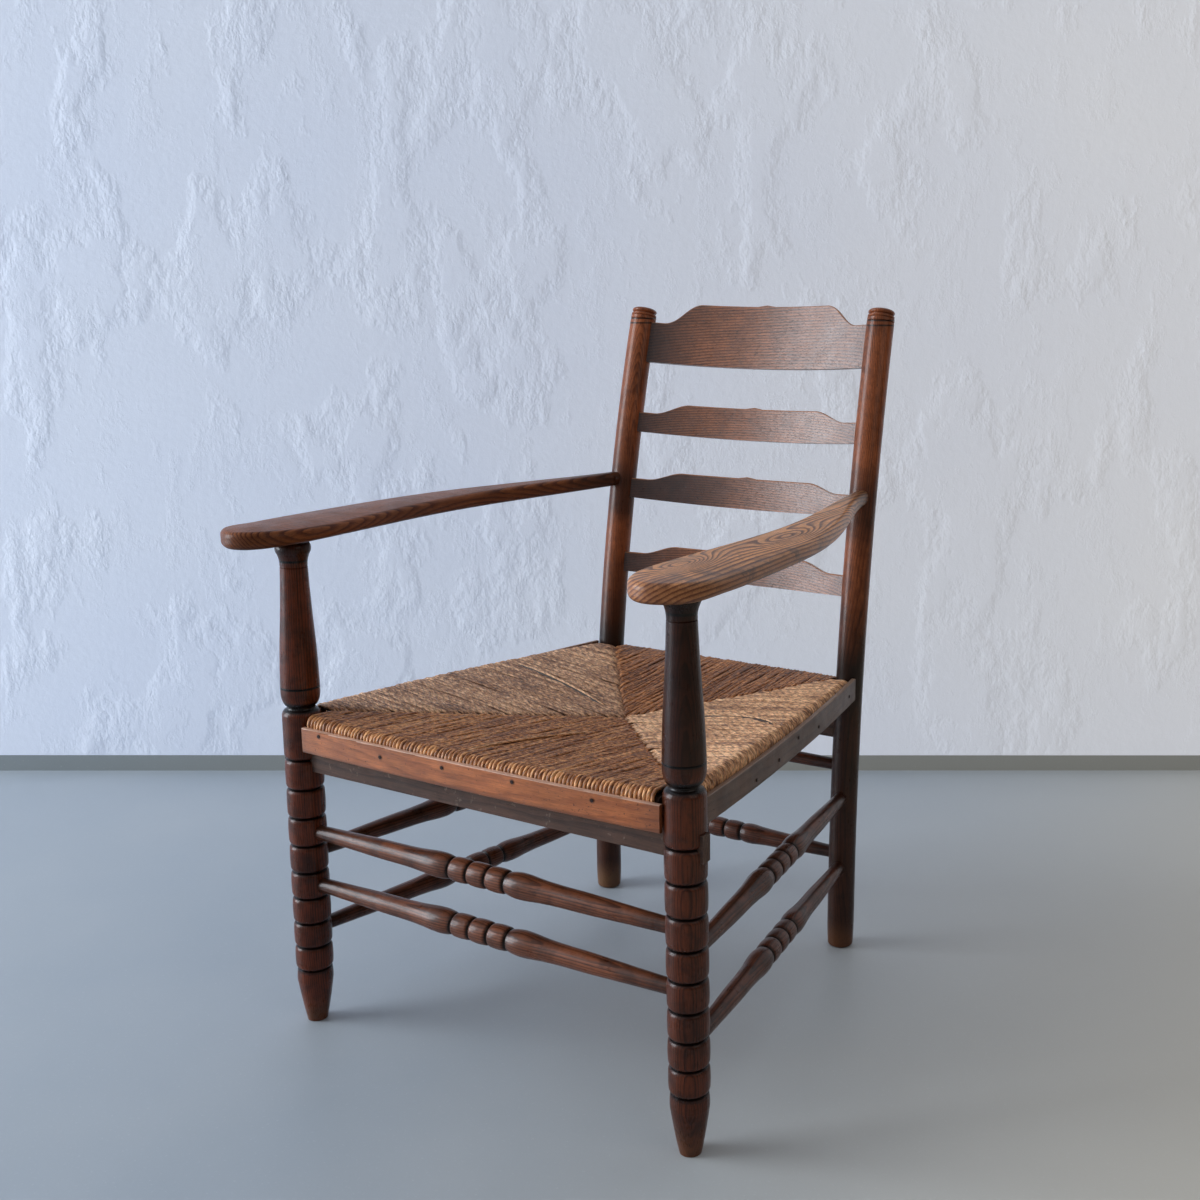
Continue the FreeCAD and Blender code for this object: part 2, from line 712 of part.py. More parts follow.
def rush_blank():
    """The rush seat's outer form: bowed sides, rolled edges and a sagging top."""
    front_centre, front_radius, outward = seat_circle("front")
    side_centre, side_radius, outward = seat_circle("left")
    back_centre, back_radius, outward = seat_circle("back")
    reach = 2 * leg_foot_x
    front_y = front_centre.y - front_radius
    back_y = back_centre.y + back_radius
    side_view = [vec(-reach, front_y, rush_front_bottom_z), vec(-reach, front_y, rush_front_top_z),
                 vec(-reach, back_y, rush_back_top_z), vec(-reach, back_y, rush_back_bottom_z)]
    slab = Part.Face(Part.makePolygon(side_view + [side_view[0]])).extrude(vec(2 * reach, 0, 0))
    side_disc = Part.makeCylinder(side_radius, 2 * rush_front_top_z, side_centre)
    for disc in [Part.makeCylinder(front_radius, 2 * rush_front_top_z, front_centre),
                 Part.makeCylinder(back_radius, 2 * rush_front_top_z, back_centre),
                 side_disc, mirrored(side_disc)]:
        slab = slab.common(disc)
    long_edges = [edge for edge in slab.Edges if edge.Length > post_x / 2]
    return slab.makeFillet(rush_edge_rounding, long_edges)


def seat_plan(scale, z):
    """An oval-cornered plan of the seat, shrunk towards its middle."""
    front_y = leg_y
    back_y = post_point(1, back_rail_z).y
    middle_y = (front_y + back_y) / 2
    half_depth = (back_y - front_y) / 2 * scale
    points = []
    for index in range(16):
        angle = 2 * math.pi * index / 16
        across = math.copysign(abs(math.cos(angle)) ** 0.55, math.cos(angle))
        along = math.copysign(abs(math.sin(angle)) ** 0.55, math.sin(angle))
        y = middle_y + half_depth * along
        share = (y - front_y) / (back_y - front_y)
        half_width = (leg_foot_x + (post_x - leg_foot_x) * share) * scale
        points.append(vec(half_width * across, y, z))
    spline = Part.BSplineCurve()
    spline.interpolate(Points=points, PeriodicFlag=True)
    return Part.Wire(spline.toShape())


def hollow(levels):
    """A smooth dish through shrinking plans, each at its height."""
    return Part.makeLoft([seat_plan(scale, z) for scale, z in levels], True)


def rush_seat(nail_holes):
    """The rush, wound on the rails and cut round the legs, posts and nails."""
    top_z = (rush_front_top_z + rush_back_top_z) / 2
    bottom_z = (rush_front_bottom_z + rush_back_bottom_z) / 2
    dish = hollow([(0.98, top_z + 12.0), (0.82, top_z - 0.1 * rush_sag), (0.55, top_z - 0.58 * rush_sag),
                   (0.3, top_z - 0.88 * rush_sag), (0.08, top_z - rush_sag)])
    belly = hollow([(0.84, bottom_z + 6.0), (0.66, bottom_z - 0.4 * rush_underside_sag),
                    (0.4, bottom_z - 0.85 * rush_underside_sag), (0.08, bottom_z - rush_underside_sag)])
    tools = []
    for name in ["front", "back", "left"]:
        start, end, outward = rail_ends(name)
        width, height = rail_size(name)
        tools.append(bar(start, end, outward, width + 2 * fit, height + 2 * fit, 0, 0))
    tools.append(mirrored(tools[-1]))
    for label, side in SIDES:
        tools.append(leg_stand_in(side, rush_back_bottom_z - 20, rush_front_top_z + 10, rush_corner_gap))
        tools.append(post_stand_in(side, rush_back_bottom_z - 20, rush_front_top_z + 10, rush_corner_gap))
    return rush_blank().fuse(belly).cut([dish] + tools + nail_holes)


def edging_strip(name):
    """A thin bent strip outside the rush, stopping short of the legs and posts."""
    centre, radius, outward = seat_circle(name)
    drop = back_strip_drop if name == "back" else 0.0
    height = strip_top_z - strip_bottom_z
    base = centre + vec(0, 0, strip_bottom_z - drop)
    inner = radius + seat_gap
    ring = Part.makeCylinder(inner + strip_thickness, height, base).cut(Part.makeCylinder(inner, height, base))
    start, end, out = seat_line(name, seat_outline_z)
    start_gap, end_gap = strip_ends[name]
    strip = ring.common(bar(start, end, out, 90.0, 4 * height, start_gap, end_gap)).Solids[0]
    middle = strip.CenterOfMass
    outer_edges = []
    for edge in strip.Edges:
        if edge.Length > 100 and (edge.CenterOfMass - middle).dot(outward) > 0:
            outer_edges.append(edge)
    return strip.makeFillet(strip_edge_rounding, outer_edges)


def nail_places(name):
    """Points on a strip's outer face, and the way out of the wood."""
    centre, radius, outward = seat_circle(name)
    start, end, out = seat_line(name, seat_outline_z)
    along = (end - start).normalize()
    half = (end - start).Length / 2
    outer = radius + seat_gap + strip_thickness
    places = []
    for distance, z in {"front": front_nails, "back": back_nails}.get(name, side_nails):
        beside = distance - half
        point = centre + along * beside + outward * math.sqrt(outer ** 2 - beside ** 2)
        places.append((vec(point.x, point.y, z), outward))
    return places


def nail_holes_for(name):
    return [rod(point, outward * -1, nail_radius + fit / 2, nail_length + seat_gap)
            for point, outward in nail_places(name)]


def nail_group(name):
    solids = []
    for point, outward in nail_places(name):
        shank = rod(point + outward * nail_head_gap, outward * -1, nail_radius, nail_length)
        head = rod(point + outward * nail_head_gap, outward, nail_head_radius, nail_head_height)
        solids.append(shank.fuse(head).removeSplitter())
    return Part.makeCompound(solids)


def front_bearer(proud, grow):
    """A board through the front legs, its ends a little proud of them."""
    z = front_bearer_top_z - front_bearer_height / 2
    start = leg_point(-1, z)
    end = leg_point(1, z)
    inset = -leg_radius - proud
    return bar(start, end, vec(0, -1, 0), bearer_thickness + 2 * grow, front_bearer_height + 2 * grow, inset, inset)


def back_bearer(grow, extra_length):
    z = back_bearer_top_z - back_bearer_height / 2
    inset = post_radius - back_bearer_depth - extra_length
    start = post_point(-1, z)
    end = post_point(1, z)
    return bar(start, end, vec(0, 1, 0), bearer_thickness + 2 * grow, back_bearer_height + 2 * grow,
               inset, inset)


# Assembly
def stretcher_lines():
    """Name, start, end of every stretcher but the right-hand ones, axis to axis."""
    lines = []
    for name, z in front_stretchers_z:
        lines.append((name, leg_point(-1, z), leg_point(1, z)))
    for name, z in side_stretchers_z:
        lines.append(("left_" + name, leg_point(1, z), post_point(1, z)))
    for name, z in back_stretchers_z:
        lines.append((name, post_point(-1, z), post_point(1, z)))
    return lines


def make_stretchers(parts, mortises):
    for name, start, end in stretcher_lines():
        if name == "back_upper_stretcher":
            radius = back_upper_stretcher_radius
            parts[name] = plain_stretcher(start, end, radius)
        else:
            radius = stretcher_end_radius
            parts[name] = stretcher(start, end)
        mortises += round_mortises(start, end, radius, crossing_gap)


def make_seat(parts, mortises):
    holes = []
    for name in ["front", "back", "left"]:
        own_holes = nail_holes_for(name)
        start, end, outward = rail_ends(name)
        parts[name + "_seat_rail"] = seat_rail(name).cut(own_holes)
        mortises += round_mortises(start, end, rail_tenon_radius, rail_tip())
        parts[name + "_strip"] = edging_strip(name).cut(own_holes)
        parts[name + "_strip_nails"] = nail_group(name)
        holes += own_holes
    holes += [mirrored(hole) for hole in own_holes]
    parts["rush_seat"] = rush_seat(holes)
    parts["front_bearer"] = front_bearer(front_bearer_proud, 0)
    parts["back_bearer"] = back_bearer(0, 0)
    mortises.append(front_bearer(2 * front_bearer_proud, fit))
    mortises.append(back_bearer(fit, seat_gap))


def make_slats(parts, mortises):
    crest_z = post_top_z - crest_below_post_top
    parts["crest_slat"] = slat(crest_z, crest_height, crest_raise, 0, 0, 0)
    mortises.append(slat_mortise(crest_z, crest_height))
    for name, below_post_top, raise_height, dip in lower_slats:
        z = post_top_z - below_post_top
        parts[name] = slat(z, lower_slat_height, raise_height, dip, 0, 0)
        mortises.append(slat_mortise(z, lower_slat_height))


def make_left_side(parts, mortises):
    """The left arm, leg and post, with every mortise that reaches them."""
    parts["left_arm"] = left_arm()
    mortises.append(arm_tenon(arm_end_tenon_radius + fit, arm_end_depth_in_post + seat_gap))
    on_left = [tool for tool in mortises if tool.BoundBox.XMax > post_x / 2]
    legs = [tool for tool in on_left if tool.BoundBox.YMin < 0]
    posts = [tool for tool in on_left if tool.BoundBox.YMax > post_y / 2]
    parts["left_front_leg"] = front_leg(1).cut(legs)
    parts["left_back_post"] = post_blank(1).cut(posts)


def main():
    os.makedirs("parts", exist_ok=True)
    parts = {}
    mortises = []
    make_stretchers(parts, mortises)
    make_seat(parts, mortises)
    make_slats(parts, mortises)
    make_left_side(parts, mortises)
    for name in [name for name in parts if name.startswith("left_")]:
        parts["right_" + name[len("left_"):]] = mirrored(parts[name])
    for name, shape in parts.items():
        shape.translate(vec(0, -origin_y, 0))
        shape.exportStep("parts/" + name + ".step")
        print(name, len(shape.Solids), round(shape.Volume), shape.isValid())


main()
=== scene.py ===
import math
import random

import bpy
from mathutils import Matrix, Vector


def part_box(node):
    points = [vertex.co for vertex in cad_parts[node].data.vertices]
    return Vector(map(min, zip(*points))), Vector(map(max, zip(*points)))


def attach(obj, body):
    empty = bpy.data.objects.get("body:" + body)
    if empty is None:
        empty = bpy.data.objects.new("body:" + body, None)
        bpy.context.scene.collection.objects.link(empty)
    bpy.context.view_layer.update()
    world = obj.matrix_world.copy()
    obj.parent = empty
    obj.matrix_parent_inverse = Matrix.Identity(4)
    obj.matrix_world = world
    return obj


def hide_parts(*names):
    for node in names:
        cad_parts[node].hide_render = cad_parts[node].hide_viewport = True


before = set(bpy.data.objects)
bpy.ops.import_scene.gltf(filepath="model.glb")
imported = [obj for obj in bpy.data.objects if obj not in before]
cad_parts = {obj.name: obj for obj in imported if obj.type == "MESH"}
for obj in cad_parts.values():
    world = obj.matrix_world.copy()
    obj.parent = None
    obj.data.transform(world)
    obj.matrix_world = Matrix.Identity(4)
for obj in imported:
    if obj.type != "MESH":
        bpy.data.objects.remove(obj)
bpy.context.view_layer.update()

# Measures in metres unless a name says mm
origin_y_mm = 28.65
leg_x = 0.3005
leg_y = -0.30965
leg_lean = 0.0148366
post_x = 0.2165
post_foot_y = 0.25085
post_bend_start = 0.1
post_bend_radius = 3.3

# The front strip's nails, across and up
front_nails = ((-0.2365, 0.416), (-0.1285, 0.4085), (-0.0275, 0.413), (0.0785, 0.4145), (0.1895, 0.4125))

# Camera
camera_place = Vector((1.0444, -1.48085, 0.9380))
camera_turn_deg = 29.515
camera_pitch_deg = 12.002
camera_roll_deg = 0.453
camera_lens = 40.4565
camera_shift = (-0.13018, 0.00308)

# Room
wall_line = [Vector((-1.649, 0.0753, 0)), Vector((0.518, 1.3723, 0))]
skirting_height = 0.034
skirting_thickness = 0.004
wall_height = 5.0
room_half_width = 9.0
wall_half_width = 8.0
floor_top = -0.0005

# Lamps: name, watts, colour, width, height, place and target
lamps = (
    ("window", 390.0, (0.86, 0.93, 1.0), 3.0, 4.2, (-4.9, -3.5, 2.1), (0.0, 0.0, 0.5)),
    ("fill", 14.0, (1.0, 0.90, 0.80), 2.4, 2.4, (2.9, -0.4, 2.2), (0.9, 0.5, 0.0)),
)
world_direction = (-0.80, -0.25, 0.55)
world_range = (-0.5, 0.95, 0.06, 0.55)
# Painted light: the wall glows like a weak lamp
wall_glow = 0.20

# Rush, millimetres, before the shift to the frame's origin
strand_pitch = 5.6
strand_half_width = 2.6
strand_half_thickness = 2.2
strand_inset = 2.2
top_roll = 9.0
bottom_roll = 6.0
underside_flat = 32.0
front_circle = (0.0, 5892.326, 6197.526)
side_circle = (-4362.507, -628.557, 4678.119)
back_circle = (0.0, -11297.734, 11606.614)
front_reach = 266.0
side_reach = (-253.5, 269.5)
back_reach = 191.0
weave_centre = (3.0, 21.0)
centre_height = 396.0
underside_centre_height = 368.0
seam_dip = 3.4
under_dip = 5.0
top_step = 9.0
under_step = 26.0
stuffing_depth = 2.4 * strand_half_thickness


# Loose strands: panel, then start, bend and end as (place along the edge, distance inwards), millimetres
strays = (
    ("front", (-14.0, 26.0), (2.0, 110.0), (30.0, 214.0)),
    ("left", (-6.0, 20.0), (36.0, 50.0), (32.0, 172.0)),
    ("right", (80.0, 28.0), (70.0, 120.0), (34.0, 228.0)),
)
stray_steps = 26
stray_lift = 4.2
stray_half_width = 1.6
# Painted shadow beside each loose strand: how far aside it lies
stray_shadow_offset = 2.4


# Small helpers
def smooth_step(low, high, value):
    share = min(1.0, max(0.0, (value - low) / (high - low)))
    return share * share * (3 - 2 * share)


def link_object(name, data):
    made = bpy.data.objects.new(name, data)
    bpy.context.scene.collection.objects.link(made)
    return made


class Graph:
    """A material's node tree, with short calls for the nodes used here."""

    def __init__(self, name):
        self.material = bpy.data.materials.new(name)
        self.material.use_nodes = True
        self.tree = self.material.node_tree
        self.shader = self.tree.nodes["Principled BSDF"]
        self.point = self.tree.nodes.new("ShaderNodeTexCoord").outputs["Object"]

    def put(self, value, socket):
        if isinstance(value, bpy.types.NodeSocket):
            self.tree.links.new(value, socket)
        else:
            socket.default_value = value

    def math(self, operation, first, second=0.0, third=0.0):
        node = self.tree.nodes.new("ShaderNodeMath")
        node.operation = operation
        for value, socket in zip((first, second, third), node.inputs):
            self.put(value, socket)
        return node.outputs[0]

    def vector(self, operation, first, second=(0, 0, 0), scale=1.0):
        node = self.tree.nodes.new("ShaderNodeVectorMath")
        node.operation = operation
        self.put(first, node.inputs[0])
        self.put(second, node.inputs[1])
        if operation == "SCALE":
            self.put(scale, node.inputs["Scale"])
        return node.outputs["Value"] if operation in ("DOT_PRODUCT", "LENGTH") else node.outputs["Vector"]

    def combine(self, x, y, z):
        node = self.tree.nodes.new("ShaderNodeCombineXYZ")
        for value, socket in zip((x, y, z), node.inputs):
            self.put(value, socket)
        return node.outputs[0]

    def separate(self, vector):
        node = self.tree.nodes.new("ShaderNodeSeparateXYZ")
        self.put(vector, node.inputs[0])
        return node.outputs

    def noise(self, vector, scale, detail=2.0, roughness=0.5):
        node = self.tree.nodes.new("ShaderNodeTexNoise")
        self.put(vector, node.inputs["Vector"])
        self.put(scale, node.inputs["Scale"])
        self.put(detail, node.inputs["Detail"])
        self.put(roughness, node.inputs["Roughness"])
        return node.outputs["Fac"]

    def smooth(self, value, low, high, start=0.0, end=1.0):
        node = self.tree.nodes.new("ShaderNodeMapRange")
        node.interpolation_type = "SMOOTHSTEP"
        for given, socket in zip((value, low, high, start, end), node.inputs):
            self.put(given, socket)
        return node.outputs[0]

    def mix(self, share, first, second, blend="MIX"):
        node = self.tree.nodes.new("ShaderNodeMix")
        node.data_type = "RGBA"
        node.blend_type = blend
        self.put(share, node.inputs[0])
        self.put(first, node.inputs[6])
        self.put(second, node.inputs[7])
        return node.outputs[2]

    def ramp(self, share, stops):
        node = self.tree.nodes.new("ShaderNodeValToRGB")
        self.put(share, node.inputs[0])
        while len(node.color_ramp.elements) < len(stops):
            node.color_ramp.elements.new(0.5)
        for element, (place, color) in zip(node.color_ramp.elements, stops):
            element.position = place
            element.color = color
        return node.outputs[0]

    def bump(self, height, strength, distance, normal=None):
        node = self.tree.nodes.new("ShaderNodeBump")
        self.put(strength, node.inputs["Strength"])
        self.put(distance, node.inputs["Distance"])
        self.put(height, node.inputs["Height"])
        if normal is not None:
            self.put(normal, node.inputs["Normal"])
        return node.outputs[0]

    def normal_z(self):
        geometry = self.tree.nodes.new("ShaderNodeNewGeometry")
        return self.separate(geometry.outputs["Normal"])[2]

    def attribute(self, name):
        node = self.tree.nodes.new("ShaderNodeAttribute")
        node.attribute_name = name
        return node.outputs["Fac"]


def srgb(red, green, blue):
    """A colour given as on a screen, 0 to 255, made linear."""
    made = []
    for level in (red, green, blue):
        level /= 255
        made.append(level / 12.92 if level <= 0.04045 else ((level + 0.055) / 1.055) ** 2.4)
    return (*made, 1.0)


# Wood
def grain_axes(along):
    """Three directions at right angles, the first along the grain."""
    first = Vector(along).normalized()
    second = first.cross(Vector((0.0, 0.05, 1.0))).normalized()
    if second.length < 0.5:
        second = first.cross(Vector((0.0, 1.0, 0.0))).normalized()
    return first, second, first.cross(second)


class Wood(Graph):
    """Wood with growth rings round a pith line, fibres, pores, and stains and painted light laid over."""

    def __init__(self, name, early, late, along, pith, ring=0.004, wobble=0.006, contrast=0.75, eyes=()):
        super().__init__(name)
        first, second, third = grain_axes(along)
        offset = self.vector("SUBTRACT", self.point, tuple(pith))
        self.a = self.vector("DOT_PRODUCT", offset, tuple(first))
        self.b = self.vector("DOT_PRODUCT", offset, tuple(second))
        self.c = self.vector("DOT_PRODUCT", offset, tuple(third))
        slow = self.combine(self.math("MULTIPLY", self.a, 0.22), self.b, self.c)
        bend = self.math("SUBTRACT", self.noise(slow, 14.0, 2.0), 0.5)
        fine_bend = self.math("SUBTRACT", self.noise(slow, 70.0, 2.0), 0.5)
        across = self.combine(0.0, self.b, self.c)
        distance = self.vector("LENGTH", across)
        distance = self.math("MULTIPLY_ADD", bend, wobble * 2.6, distance)
        distance = self.math("MULTIPLY_ADD", fine_bend, wobble * 0.5, distance)
        for centre, reach_along, reach_across, lift in eyes:
            distance = self.math("ADD", distance, self.eye(first, centre, reach_along, reach_across, lift))
        phase = self.math("FRACT", self.math("DIVIDE", distance, ring))
        rise = self.smooth(phase, 0.25, 0.88)
        fall = self.smooth(phase, 0.92, 1.0, 1.0, 0.0)
        self.rings = self.math("MULTIPLY", rise, fall)
        fibre_place = self.combine(self.math("MULTIPLY", self.a, 0.035), self.b, self.c)
        self.fibres = self.noise(fibre_place, 900.0, 3.0, 0.62)
        streak_place = self.combine(self.math("MULTIPLY", self.a, 0.05), self.b, self.c)
        self.streaks = self.noise(streak_place, 190.0, 3.0, 0.6)
        pore_place = self.combine(self.math("MULTIPLY", self.a, 0.09), self.b, self.c)
        self.pores = self.smooth(self.noise(pore_place, 1500.0, 1.0), 0.60, 0.72)
        self.clouds = self.noise(self.point, 16.0, 3.0, 0.55)
        ringed = self.math("MULTIPLY", self.rings, contrast)
        streaked = self.math("MULTIPLY", self.math("SUBTRACT", self.streaks, 0.5), 1.1)
        mixed = self.math("ADD", ringed, streaked)
        self.color = self.mix(self.smooth(mixed, -0.1, 1.0), early, late)
        shade = self.smooth(self.fibres, 0.25, 0.75, 0.74, 1.22)
        self.multiply(shade)
        self.multiply(self.smooth(self.clouds, 0.3, 0.7, 0.82, 1.14))

    def eye(self, first, centre, reach_along, reach_across, lift):
        """A swelling of the rings round a point, which shows as nested ovals."""
        offset = self.vector("SUBTRACT", self.point, tuple(centre))
        along = self.vector("DOT_PRODUCT", offset, tuple(first))
        whole = self.math("POWER", self.vector("LENGTH", offset), 2.0)
        across = self.math("SUBTRACT", whole, self.math("POWER", along, 2.0))
        scaled = self.math("DIVIDE", self.math("POWER", along, 2.0), reach_along ** 2)
        scaled = self.math("MULTIPLY_ADD", across, 1 / reach_across ** 2, scaled)
        return self.math("MULTIPLY", self.math("EXPONENT", self.math("MULTIPLY", scaled, -1.0)), lift)

    def multiply(self, factor):
        self.color = self.mix(1.0, self.color, self.combine(factor, factor, factor), "MULTIPLY")

    def stain_and_painted_light(self, share, color):
        # Lays a colour over the wood; some calls paint real stains, others painted shade and highlights
        self.color = self.mix(share, self.color, color)

    def dark_pores(self, strength, color=(0.006, 0.003, 0.002, 1)):
        self.stain_and_painted_light(self.math("MULTIPLY", self.pores, strength), color)

    def finish(self, roughness=(0.30, 0.48), coat=0.25, coat_roughness=0.22,
               depth=0.00022, strength=0.5, gloss=0.3):
        """Roughness, fine relief, clear coat and colour, put on the shader."""
        worn = self.noise(self.point, 45.0, 3.0, 0.6)
        mixed = self.math("MULTIPLY_ADD", self.fibres, 0.35, self.math("MULTIPLY", worn, 0.65))
        rough = self.smooth(mixed, 0.3, 0.7, roughness[0], roughness[1])
        self.put(rough, self.shader.inputs["Roughness"])
        self.put(self.color, self.shader.inputs["Base Color"])
        height = self.math("MULTIPLY_ADD", self.rings, -0.35, self.fibres)
        height = self.math("MULTIPLY_ADD", self.pores, -0.9, height)
        dents = self.noise(self.point, 120.0, 2.0)
        normal = self.bump(dents, 0.10, 0.0010)
        normal = self.bump(height, strength, depth, normal)
        self.put(normal, self.shader.inputs["Normal"])
        self.shader.inputs["Coat Weight"].default_value = coat
        self.shader.inputs["Coat Roughness"].default_value = coat_roughness
        self.shader.inputs["Specular IOR Level"].default_value = gloss
        return self.material


def dress(node, material):
    """Gives a CAD node its one material."""
    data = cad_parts[node].data
    data.materials.clear()
    data.materials.append(material)


def leg_wood(side):
    """Dark, glossy turned wood; painted shade makes the grooves nearly black."""
    early, late = (srgb(92, 44, 24), srgb(40, 16, 9)) if side > 0 else (srgb(104, 46, 23), srgb(46, 18, 9))
    wood = Wood("leg_wood_%s" % ("left" if side > 0 else "right"), early, late, (0.004 * side, 0.006, 1.0),
                (side * (leg_x + 0.021), leg_y - 0.034, 0.3), 0.0026, 0.004, 0.6)
    x, y, z = wood.separate(wood.point)
    axis_x = wood.math("MULTIPLY_ADD", z, -side * leg_lean, side * leg_x)
    beside = wood.combine(wood.math("SUBTRACT", x, axis_x), wood.math("SUBTRACT", y, leg_y), 0.0)
    radius = wood.vector("LENGTH", beside)
    blotch = wood.smooth(wood.noise(wood.point, 38.0, 4.0, 0.65), 0.42, 0.66)
    wood.stain_and_painted_light(wood.math("MULTIPLY", blotch, 0.55), srgb(32, 16, 11))
    if side > 0:
        high = wood.smooth(z, 0.452, 0.475, 0.0, 0.72)
        wood.stain_and_painted_light(high, srgb(27, 13, 9))
    low = wood.smooth(z, 0.05, 0.002)
    wood.stain_and_painted_light(wood.math("MULTIPLY", low, 0.45), srgb(112, 70, 42))
    # Painted shade: nearly black in the bobbin grooves, found by their nearness to the leg's axis
    bobbin_groove_shade = wood.math("MULTIPLY", wood.smooth(radius, 0.0240, 0.0212), wood.smooth(z, 0.0715, 0.0735))
    bobbin_groove_shade = wood.math("MULTIPLY", bobbin_groove_shade, wood.smooth(z, 0.452, 0.449))
    wood.stain_and_painted_light(wood.math("MULTIPLY", bobbin_groove_shade, 0.96), srgb(9, 6, 6))
    # Painted shade: dark in the two incised lines
    for height in (0.4683, 0.6330):
        near = wood.math("ABSOLUTE", wood.math("SUBTRACT", z, height))
        wood.stain_and_painted_light(wood.smooth(near, 0.0022, 0.0009), srgb(9, 6, 6))
    # Painted shade: darker just under the arm
    under_arm_shade = wood.smooth(z, 0.612, 0.645)
    wood.stain_and_painted_light(wood.math("MULTIPLY", under_arm_shade, 0.6), srgb(16, 9, 8))
    wood.dark_pores(0.5)
    return wood.finish((0.22, 0.42), 0.22, 0.12, gloss=0.14)


def post_wood(side):
    """Lighter orange-brown above, dark near the arm joint, with a painted shadow near the seat."""
    wood = Wood("post_wood_%s" % ("left" if side > 0 else "right"), srgb(148, 82, 48), srgb(84, 42, 24),
                (0.0, 0.06, 1.0), (side * (post_x - 0.030), 0.285, 0.5), 0.0024, 0.004, 0.5)
    z = wood.separate(wood.point)[2]
    blotch = wood.smooth(wood.noise(wood.point, 26.0, 4.0, 0.65), 0.4, 0.7)
    wood.stain_and_painted_light(wood.math("MULTIPLY", blotch, 0.5), srgb(58, 30, 20))
    low = wood.smooth(z, 0.62, 0.42)
    wood.stain_and_painted_light(wood.math("MULTIPLY", low, 0.86), srgb(18, 9, 6) if side > 0 else srgb(38, 20, 13))
    near_arm = wood.math("ABSOLUTE", wood.math("SUBTRACT", z, 0.668))
    wood.stain_and_painted_light(wood.smooth(near_arm, 0.075, 0.012, 0.0, 0.72), srgb(34, 22, 19))
    # Painted shadow: darker round the seat's height, where the strip shades the post
    seat_shadow = wood.math("ABSOLUTE", wood.math("SUBTRACT", z, 0.415))
    wood.stain_and_painted_light(wood.smooth(seat_shadow, 0.06, 0.01, 0.0, 0.7), srgb(24, 17, 16))
    foot = wood.smooth(z, 0.055, 0.01)
    wood.stain_and_painted_light(wood.math("MULTIPLY", foot, 0.7), srgb(120, 84, 56) if side < 0 else srgb(96, 58, 32))
    # Painted shade: dark in the two incised rings near the top
    for height in (0.9345, 0.9275):
        near = wood.math("ABSOLUTE", wood.math("SUBTRACT", z, height))
        wood.stain_and_painted_light(wood.smooth(near, 0.0018, 0.0007, 0.0, 0.85), srgb(20, 12, 10))
    wood.dark_pores(0.55)
    return wood.finish((0.26, 0.44), 0.2, 0.18, gloss=0.16)


def slat_wood(name, pith, ring, tilt, shade_from=-0.06, shade_to=-0.2):
    """Middle brown, with painted shade making the left end nearly black; tilt leans the grain off level."""
    wood = Wood(name + "_wood", srgb(150, 92, 60), srgb(84, 46, 30), (1.0, tilt[0], tilt[1]),
                pith, ring, 0.003, 0.85)
    x = wood.separate(wood.point)[0]
    # Painted shade: the left end, turned away from the window's reflection, made nearly black
    left_end_shade = wood.smooth(x, shade_from, shade_to)
    wood.stain_and_painted_light(wood.math("MULTIPLY", left_end_shade, 0.85), srgb(30, 20, 22))
    far_end = wood.smooth(x, 0.150, 0.196)
    wood.stain_and_painted_light(wood.math("MULTIPLY", far_end, 0.4), srgb(62, 40, 34))
    blotch = wood.smooth(wood.noise(wood.point, 30.0, 4.0, 0.65), 0.42, 0.7)
    wood.stain_and_painted_light(wood.math("MULTIPLY", blotch, 0.4), srgb(84, 52, 42))
    # Upward-facing bevels lighter: partly wear, partly a painted highlight from the light above
    bevel_wear_and_highlight = wood.smooth(wood.normal_z(), 0.35, 0.62)
    wood.stain_and_painted_light(wood.math("MULTIPLY", bevel_wear_and_highlight, 0.7), srgb(176, 116, 78))
    wood.dark_pores(0.95)
    return wood.finish((0.26, 0.40), 0.34, 0.30, 0.0003, 0.6, 0.4)


def near_arm_wood():
    """Honey-brown elm with bold nested rings along the flat top."""
    eyes = (((0.288, -0.300, 0.668), 0.048, 0.022, 0.048), ((0.306, -0.098, 0.672), 0.072, 0.020, 0.042),
            ((0.262, 0.11, 0.68), 0.09, 0.015, 0.012))
    wood = Wood("near_arm_wood", srgb(220, 152, 96), srgb(98, 56, 34), (-0.05, 0.998, 0.02),
                (0.405, -0.10, 0.49), 0.0047, 0.003, 0.9, eyes)
    x, y = list(wood.separate(wood.point))[:2]
    outer = wood.smooth(x, 0.325, 0.352)
    wood.stain_and_painted_light(wood.math("MULTIPLY", outer, 0.45), srgb(60, 34, 24))
    # Sides darker than the top: partly stain, partly painted shade
    side_stain_and_shade = wood.smooth(wood.normal_z(), 0.75, 0.1)
    wood.stain_and_painted_light(wood.math("MULTIPLY", side_stain_and_shade, 0.35), srgb(112, 62, 38))
    patch = wood.smooth(wood.noise(wood.point, 30.0, 4.0, 0.7), 0.50, 0.62)
    outer_edge = wood.math("MULTIPLY", patch, wood.smooth(x, 0.292, 0.318))
    wood.stain_and_painted_light(wood.math("MULTIPLY", outer_edge, 0.5), srgb(44, 32, 30))
    tip = wood.smooth(y, -0.352, -0.395)
    wood.stain_and_painted_light(wood.math("MULTIPLY", tip, 0.3), srgb(128, 64, 38))
    back_end = wood.smooth(y, 0.14, 0.27)
    wood.stain_and_painted_light(wood.math("MULTIPLY", back_end, 0.7), srgb(54, 34, 27))
    # Painted shade: darker on the underside
    underside_shade = wood.smooth(wood.normal_z(), -0.3, -0.9)
    wood.stain_and_painted_light(wood.math("MULTIPLY", underside_shade, 0.55), srgb(58, 36, 27))
    wood.dark_pores(0.7)
    return wood.finish((0.34, 0.46), 0.26, 0.30, 0.0003, 0.5, 0.25)


